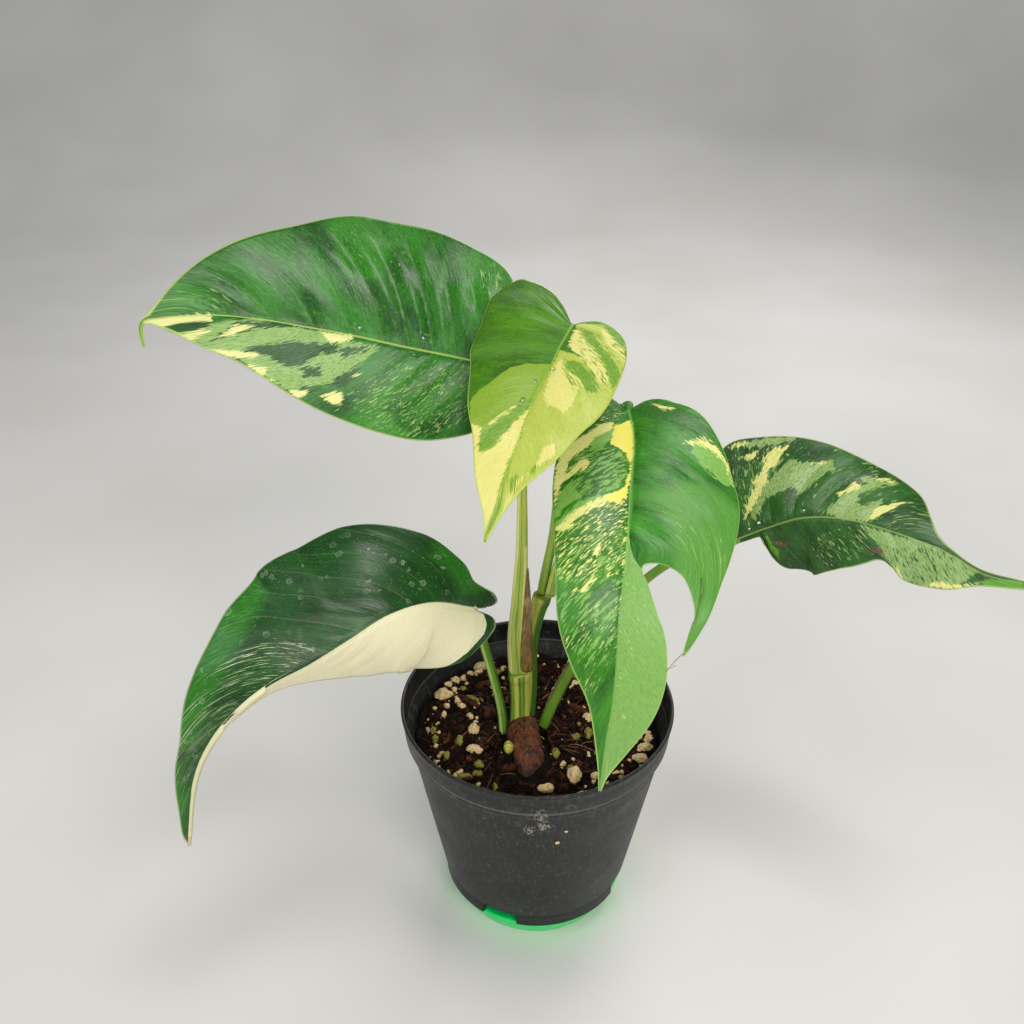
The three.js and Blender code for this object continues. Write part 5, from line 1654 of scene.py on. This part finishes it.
# %% Rootlets
ROOTLETS = 34
rootlets = bmesh.new()
for index in range(ROOTLETS):
    turn = dice.uniform(-2.6, -0.5) if index % 2 else dice.uniform(-3.3, 0.2)
    back = dice.uniform(-26, -2)
    start = (-4.6 + 6.3 * math.cos(turn), back, 93 + 4.5 * math.sin(turn))
    way = (math.cos(turn), dice.uniform(-0.6, 0.2), math.sin(turn))
    strand(rootlets, start, way, dice.uniform(4, 8), dice.uniform(0.12, 0.3), 0.35, index + 100)
print("rootlets", len(rootlets.faces), "faces")
root_finish = finish_of("young_root_skin", lambda tree: dry_leaf(tree, "8a6a48", "cbb594", 0.6))
piece_of("rhizome_rootlets", rootlets, "rhizome", root_finish)

# %% [markdown]
# ## Threads at the lobe
# Where the front leaf's lobe tore free, two dry threads of its margin still hang. They start on the bent
# leaf, at places given on the flat one.

# %% Threads at the lobe
front = LEAVES["leaf_front"]
lobe_tip, margin = bend_leaf(front, Rib(front["rib"]), np.array([95.0, 100.5]), np.array([-22.4, -17.2]))
threads = bmesh.new()
strand(threads, lobe_tip, (-0.8, -0.25, -0.7), 8.5, 0.18, 0.02, 41)
strand(threads, margin, (0.8, -0.1, 0.35), 3.5, 0.15, 0.0, 57)
thread_finish = finish_of("dried_leaf_thread", lambda tree: dry_leaf(tree, "6c6038", "c8c08c", 0.6))
piece_of("lobe_threads", threads, "leaf_front", thread_finish)
print("threads start at", lobe_tip.round(), "and", margin.round())

# %% [markdown]
# ## Nursery pot
# A 12 cm nursery pot is injection moulded in black polypropylene: a thin wall, a rolled rim over a deeper
# band, a foot ring with four notches and a floor with drain holes. Its section is spun about its axis, from
# the middle of a notch, so that the notches take whole segments.

# %% Pot wall
FLOOR = 21  # height of the floor's underside: 8 mm over the foot, on a stand of 13 mm
NOTCH_TURN = -90 - 23.5  # degrees to the middle of the notch that the photograph shows
SEGMENTS = 192
FLOOR_TOP = 22.4
FLOOR_RINGS = (12, 18.5, 20, 22, 24, 26, 28, 29.5)  # radii that carry the drain holes
OUTSIDE = [(r, FLOOR) for r in FLOOR_RINGS] + [
    (39.2, FLOOR), (39.5, 20.5), (39.8, 19), (40.1, 13.2), (40.4, 13), (42.1, 13), (42.4, 13.2), (42.5, 19),
    (42.5, 19.6), (42.7, 20.2), (43.1, 20.6), (43.4, 21.4), (47, 41.5), (50.5, 61.4), (53.7, 79.4),
    (56.1, 92.6), (56.5, 94.4), (57.0, 95.3), (57.8, 95.7), (58.2, 96.2), (58.4, 97.2), (58.5, 98.4),
    (58.35, 98.8), (58.55, 99.2), (59.0, 104), (59.25, 106.8), (59.6, 107.4), (59.68, 108.1), (59.5, 108.7),
    (59.1, 109)]
INSIDE = [(58.5, 108.9), (58.1, 108.4), (57.8, 107), (57.1, 98), (56.6, 97), (55.3, 96), (53, 84), (48, 58.4),
          (41.2, 24.2), (40.6, 23), (39.4, FLOOR_TOP)] + [(r, FLOOR_TOP) for r in reversed(FLOOR_RINGS)]


def turned(profile, turn, steps):
    """A body of revolution in millimetres from radii and heights, started at a turn in radians."""
    bm = bmesh.new()
    line = [bm.verts.new((r * math.cos(turn), r * math.sin(turn), z)) for r, z in profile]
    edges = [bm.edges.new(pair) for pair in zip(line, line[1:])]
    bmesh.ops.spin(bm, geom=line + edges, cent=(0, 0, 0), axis=(0, 0, 1), dvec=(0, 0, 0), angle=2 * math.pi,
                   steps=steps, use_merge=True)
    bmesh.ops.remove_doubles(bm, verts=bm.verts, dist=1e-4)
    bmesh.ops.recalc_face_normals(bm, faces=bm.faces)
    return bm


notch_turn = math.radians(NOTCH_TURN)
pot = turned([(0, FLOOR)] + OUTSIDE + INSIDE + [(0, FLOOR_TOP)], notch_turn, SEGMENTS)
print("pot", len(pot.faces), "faces")

# %% [markdown]
# ## Drain holes
# Six holes let water out. The faces inside each circle are taken out of the floor's two skins, the open
# edges are drawn onto the circle, and a bridge between them makes the hole's wall.

# %% Drain holes
HOLE_CIRCLE = 24
HOLE_RADIUS = 4
for index in range(6):
    centre = Vector((HOLE_CIRCLE * math.cos(notch_turn + index * math.pi / 3),
                     HOLE_CIRCLE * math.sin(notch_turn + index * math.pi / 3)))
    faces = [f for f in pot.faces if f.calc_center_median().z < 23 and
             (f.calc_center_median().xy - centre).length < HOLE_RADIUS]
    bmesh.ops.delete(pot, geom=faces, context="FACES")
    rim = [e for e in pot.edges if e.is_boundary]
    for vert in {v for e in rim for v in e.verts}:
        way = vert.co.xy - centre
        vert.co.xy = centre + way * (HOLE_RADIUS / way.length)
    bmesh.ops.bridge_loops(pot, edges=rim)
print("open edges left:", sum(e.is_boundary for e in pot.edges))

# %% [markdown]
# ## Foot notches
# Four notches in the foot ring let the drained water run away. Each is cut from whole segments of both
# skins, and the open edges, outer and inner, are bridged through the wall.

# %% Foot notches
NOTCH_TOP = 19  # height in millimetres
NOTCH_HALF = 11.25  # degrees to either side of its middle
RING = (39, 41.2)  # radii that the foot ring lies outside of, and that part its two skins


def in_notch(face, middle):
    """Whether a face of the foot ring lies in the notch with its middle at a turn."""
    spot = face.calc_center_median()
    away = (math.atan2(spot.y, spot.x) - middle + math.pi) % (2 * math.pi) - math.pi
    return spot.z < NOTCH_TOP and abs(away) < math.radians(NOTCH_HALF) and spot.xy.length > RING[0]


for index in range(4):
    middle = notch_turn + index * math.pi / 2
    bmesh.ops.delete(pot, geom=[f for f in pot.faces if in_notch(f, middle)], context="FACES")
    rim = [e for e in pot.edges if e.is_boundary]
    outer = [e for e in rim if all(v.co.xy.length > RING[1] for v in e.verts)]
    inner = [e for e in rim if all(v.co.xy.length <= RING[1] for v in e.verts)]
    bmesh.ops.bridge_loops(pot, edges=outer + inner)
bmesh.ops.recalc_face_normals(pot, faces=pot.faces)
bmesh.ops.scale(pot, vec=(MM, MM, MM), verts=pot.verts)
print("open edges left:", sum(e.is_boundary for e in pot.edges))

# %% [markdown]
# ## The pot's finish
# Years of handling have greyed the black plastic with fine scratches, dust and dried runs of hard water,
# and water has splashed lime on the front. Each is a thin layer over the next, and a pale highlight is
# painted along the ridge under the rim.

# %% The pot's finish
# Where the photograph shows lime on the wall: x and height in mm, and how far the splash reaches
SPLASHES = [(-4, 86, 7), (2, 89, 7), (0, 97, 10), (-16, 80, 7)]
RIDGE_HIGHLIGHT_HEIGHT = 98.6 * MM  # height of the ridge under the rim, along which a pale highlight is painted


def black_plastic(tree):
    """Black polypropylene, matt from wear: fine scratches, dust, pale upright runs and a splash of lime."""
    where = add(tree, "TexCoord").outputs["Object"]
    round_wall = add(tree, "VectorMath", {0: where}, operation="NORMALIZE")
    runs = add(tree, "Mapping", {"Vector": round_wall, "Scale": (60, 60, 5)})
    runs = add(tree, "TexNoise", {"Vector": runs, "Scale": 1.0, "Detail": 5.0, "Roughness": 0.7})
    dust = grain(tree, 22, 5.0)
    scratches = add(tree, "TexNoise", {"Vector": where, "Scale": 90.0, "Detail": 8.0, "Roughness": 0.85,
                                       "Distortion": 2.5})
    specks = grain(tree, 0.8, 2.0, shift=5.0)
    colour = lay_over(tree, "040506", "0e0f10", dust, 0.4, 0.7)
    colour = lay_over(tree, colour, "5c6060", runs, 0.54, 0.74, 0.5)
    colour = lay_over(tree, colour, "7c807e", scratches, 0.57, 0.68, 0.48)
    colour = lay_over(tree, colour, "a7a598", specks, 0.7, 0.75, 0.75)
    height = add(tree, "SeparateXYZ", {"Vector": where}).outputs["Z"]
    ridge = add(tree, "Math", {0: height, 1: RIDGE_HIGHLIGHT_HEIGHT}, operation="SUBTRACT")
    ridge = add(tree, "Math", {0: ridge}, operation="ABSOLUTE")
    # a pale line painted along the ridge under the rim as its highlight
    colour = lay_over(tree, colour, "84867f", ridge, 0.8 * MM, 0.2 * MM, 0.35)
    for x, z, reach in SPLASHES:
        near = add(tree, "VectorMath", {0: where, 1: (x * MM, -56 * MM, z * MM)}, operation="DISTANCE")
        near = add(tree, "Math", {0: near.outputs["Value"], 1: 1 / (reach * MM)}, operation="MULTIPLY")
        spot = add(tree, "Math", {0: grain(tree, 0.9, 6.0, (1, 1, 2)), 1: -2.2, 2: near},
                   operation="MULTIPLY_ADD")
        colour = lay_over(tree, colour, "b0ae9e", spot, -0.72, -1.05, 0.6)
    rough = add(tree, "Math", {0: dust, 1: 0.35, 2: 0.32}, operation="MULTIPLY_ADD")
    bump = add(tree, "Bump", {"Height": scratches, "Strength": 0.4, "Distance": 0.08 * MM})
    return {"Base Color": colour, "Roughness": rough, "IOR": 1.49, "Normal": bump}


pot_finish = finish_of("moulded_black_polypropylene", black_plastic)
piece_of("nursery_pot_wall", pot, "nursery_pot", pot_finish)
print(len(SPLASHES), "splashes of lime")

# %% [markdown]
# ## Crumbs on the wall
# Two perlite crumbs have stuck to the outside of the wall, where water dried.

# %% Crumbs on the wall
WALL_CRUMBS = [(-82, 77.6, 0.9), (-78.5, 84.6, 0.7)]  # turn in degrees, height, half size
OUTER_WALL = ((21.4, 43.4), (92.6, 56.1))  # height and radius over the foot and under the band
stuck = bmesh.new()
for degrees, height, size in WALL_CRUMBS:
    out = wall_radius(height, *OUTER_WALL) + 0.35 * size
    place = (out * math.cos(math.radians(degrees)), out * math.sin(math.radians(degrees)), height)
    lump(stuck, place, (size, 0.6 * size, 0.8 * size), False, 2, 0.5, (0, 0, math.radians(degrees + 90)))
piece_of("stuck_crumbs", stuck, "nursery_pot", clean_perlite)
print(len(WALL_CRUMBS), "crumbs on the wall")

# %% [markdown]
# ## Stand
# The pot stands on something low, round and bright green, of which the photograph shows only a crescent. It
# is made here as a moulded plastic stand: a shallow drum with a rounded lip and a smooth skin.

# %% Stand
STAND = [(0, 0), (33.2, 0), (34.6, 0.25), (35.4, 0.9), (36.2, 2), (37, 3.2), (38.7, 6.6), (40.2, 9.9),
         (40.75, 11), (40.95, 11.7), (40.9, 12.25), (40.5, 12.6), (39.9, 12.7), (38.6, 12.66), (38, 12.4),
         (37.2, 12.3), (0, 12.3)]
stand = turned(STAND, 0, 160)
bmesh.ops.scale(stand, vec=(MM, MM, MM), verts=stand.verts)


def green_plastic(tree):
    """Bright green polypropylene: dyed through, lightly glossy, with a fine moulded grain and wear."""
    wear = grain(tree, 9, 4.0)
    colour = lay_over(tree, "00d660", "10ec7c", wear, 0.35, 0.7)
    rough = add(tree, "Math", {0: wear, 1: 0.25, 2: 0.22}, operation="MULTIPLY_ADD")
    bump = add(tree, "Bump", {"Height": grain(tree, 0.6), "Distance": 0.03 * MM})
    return {"Base Color": colour, "Roughness": rough, "IOR": 1.49, "Normal": bump,
            "Subsurface Weight": 0.05, "Subsurface Scale": 2 * MM}


stand_finish = finish_of("moulded_green_polypropylene", green_plastic)
piece_of("low_stand_drum", stand, "low_stand", stand_finish)
print("stand", len(STAND), "points in its outline")

# %% [markdown]
# ## Size and finish
# The box of the dressed part is printed beside the box of the solids, so the two can be compared.

# %% Finish
size = {"cad": [list(corner) for corner in cad_box], "visual": [list(corner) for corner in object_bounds()]}
print({key: [[round(v / MM, 1) for v in corner] for corner in box] for key, box in size.items()})
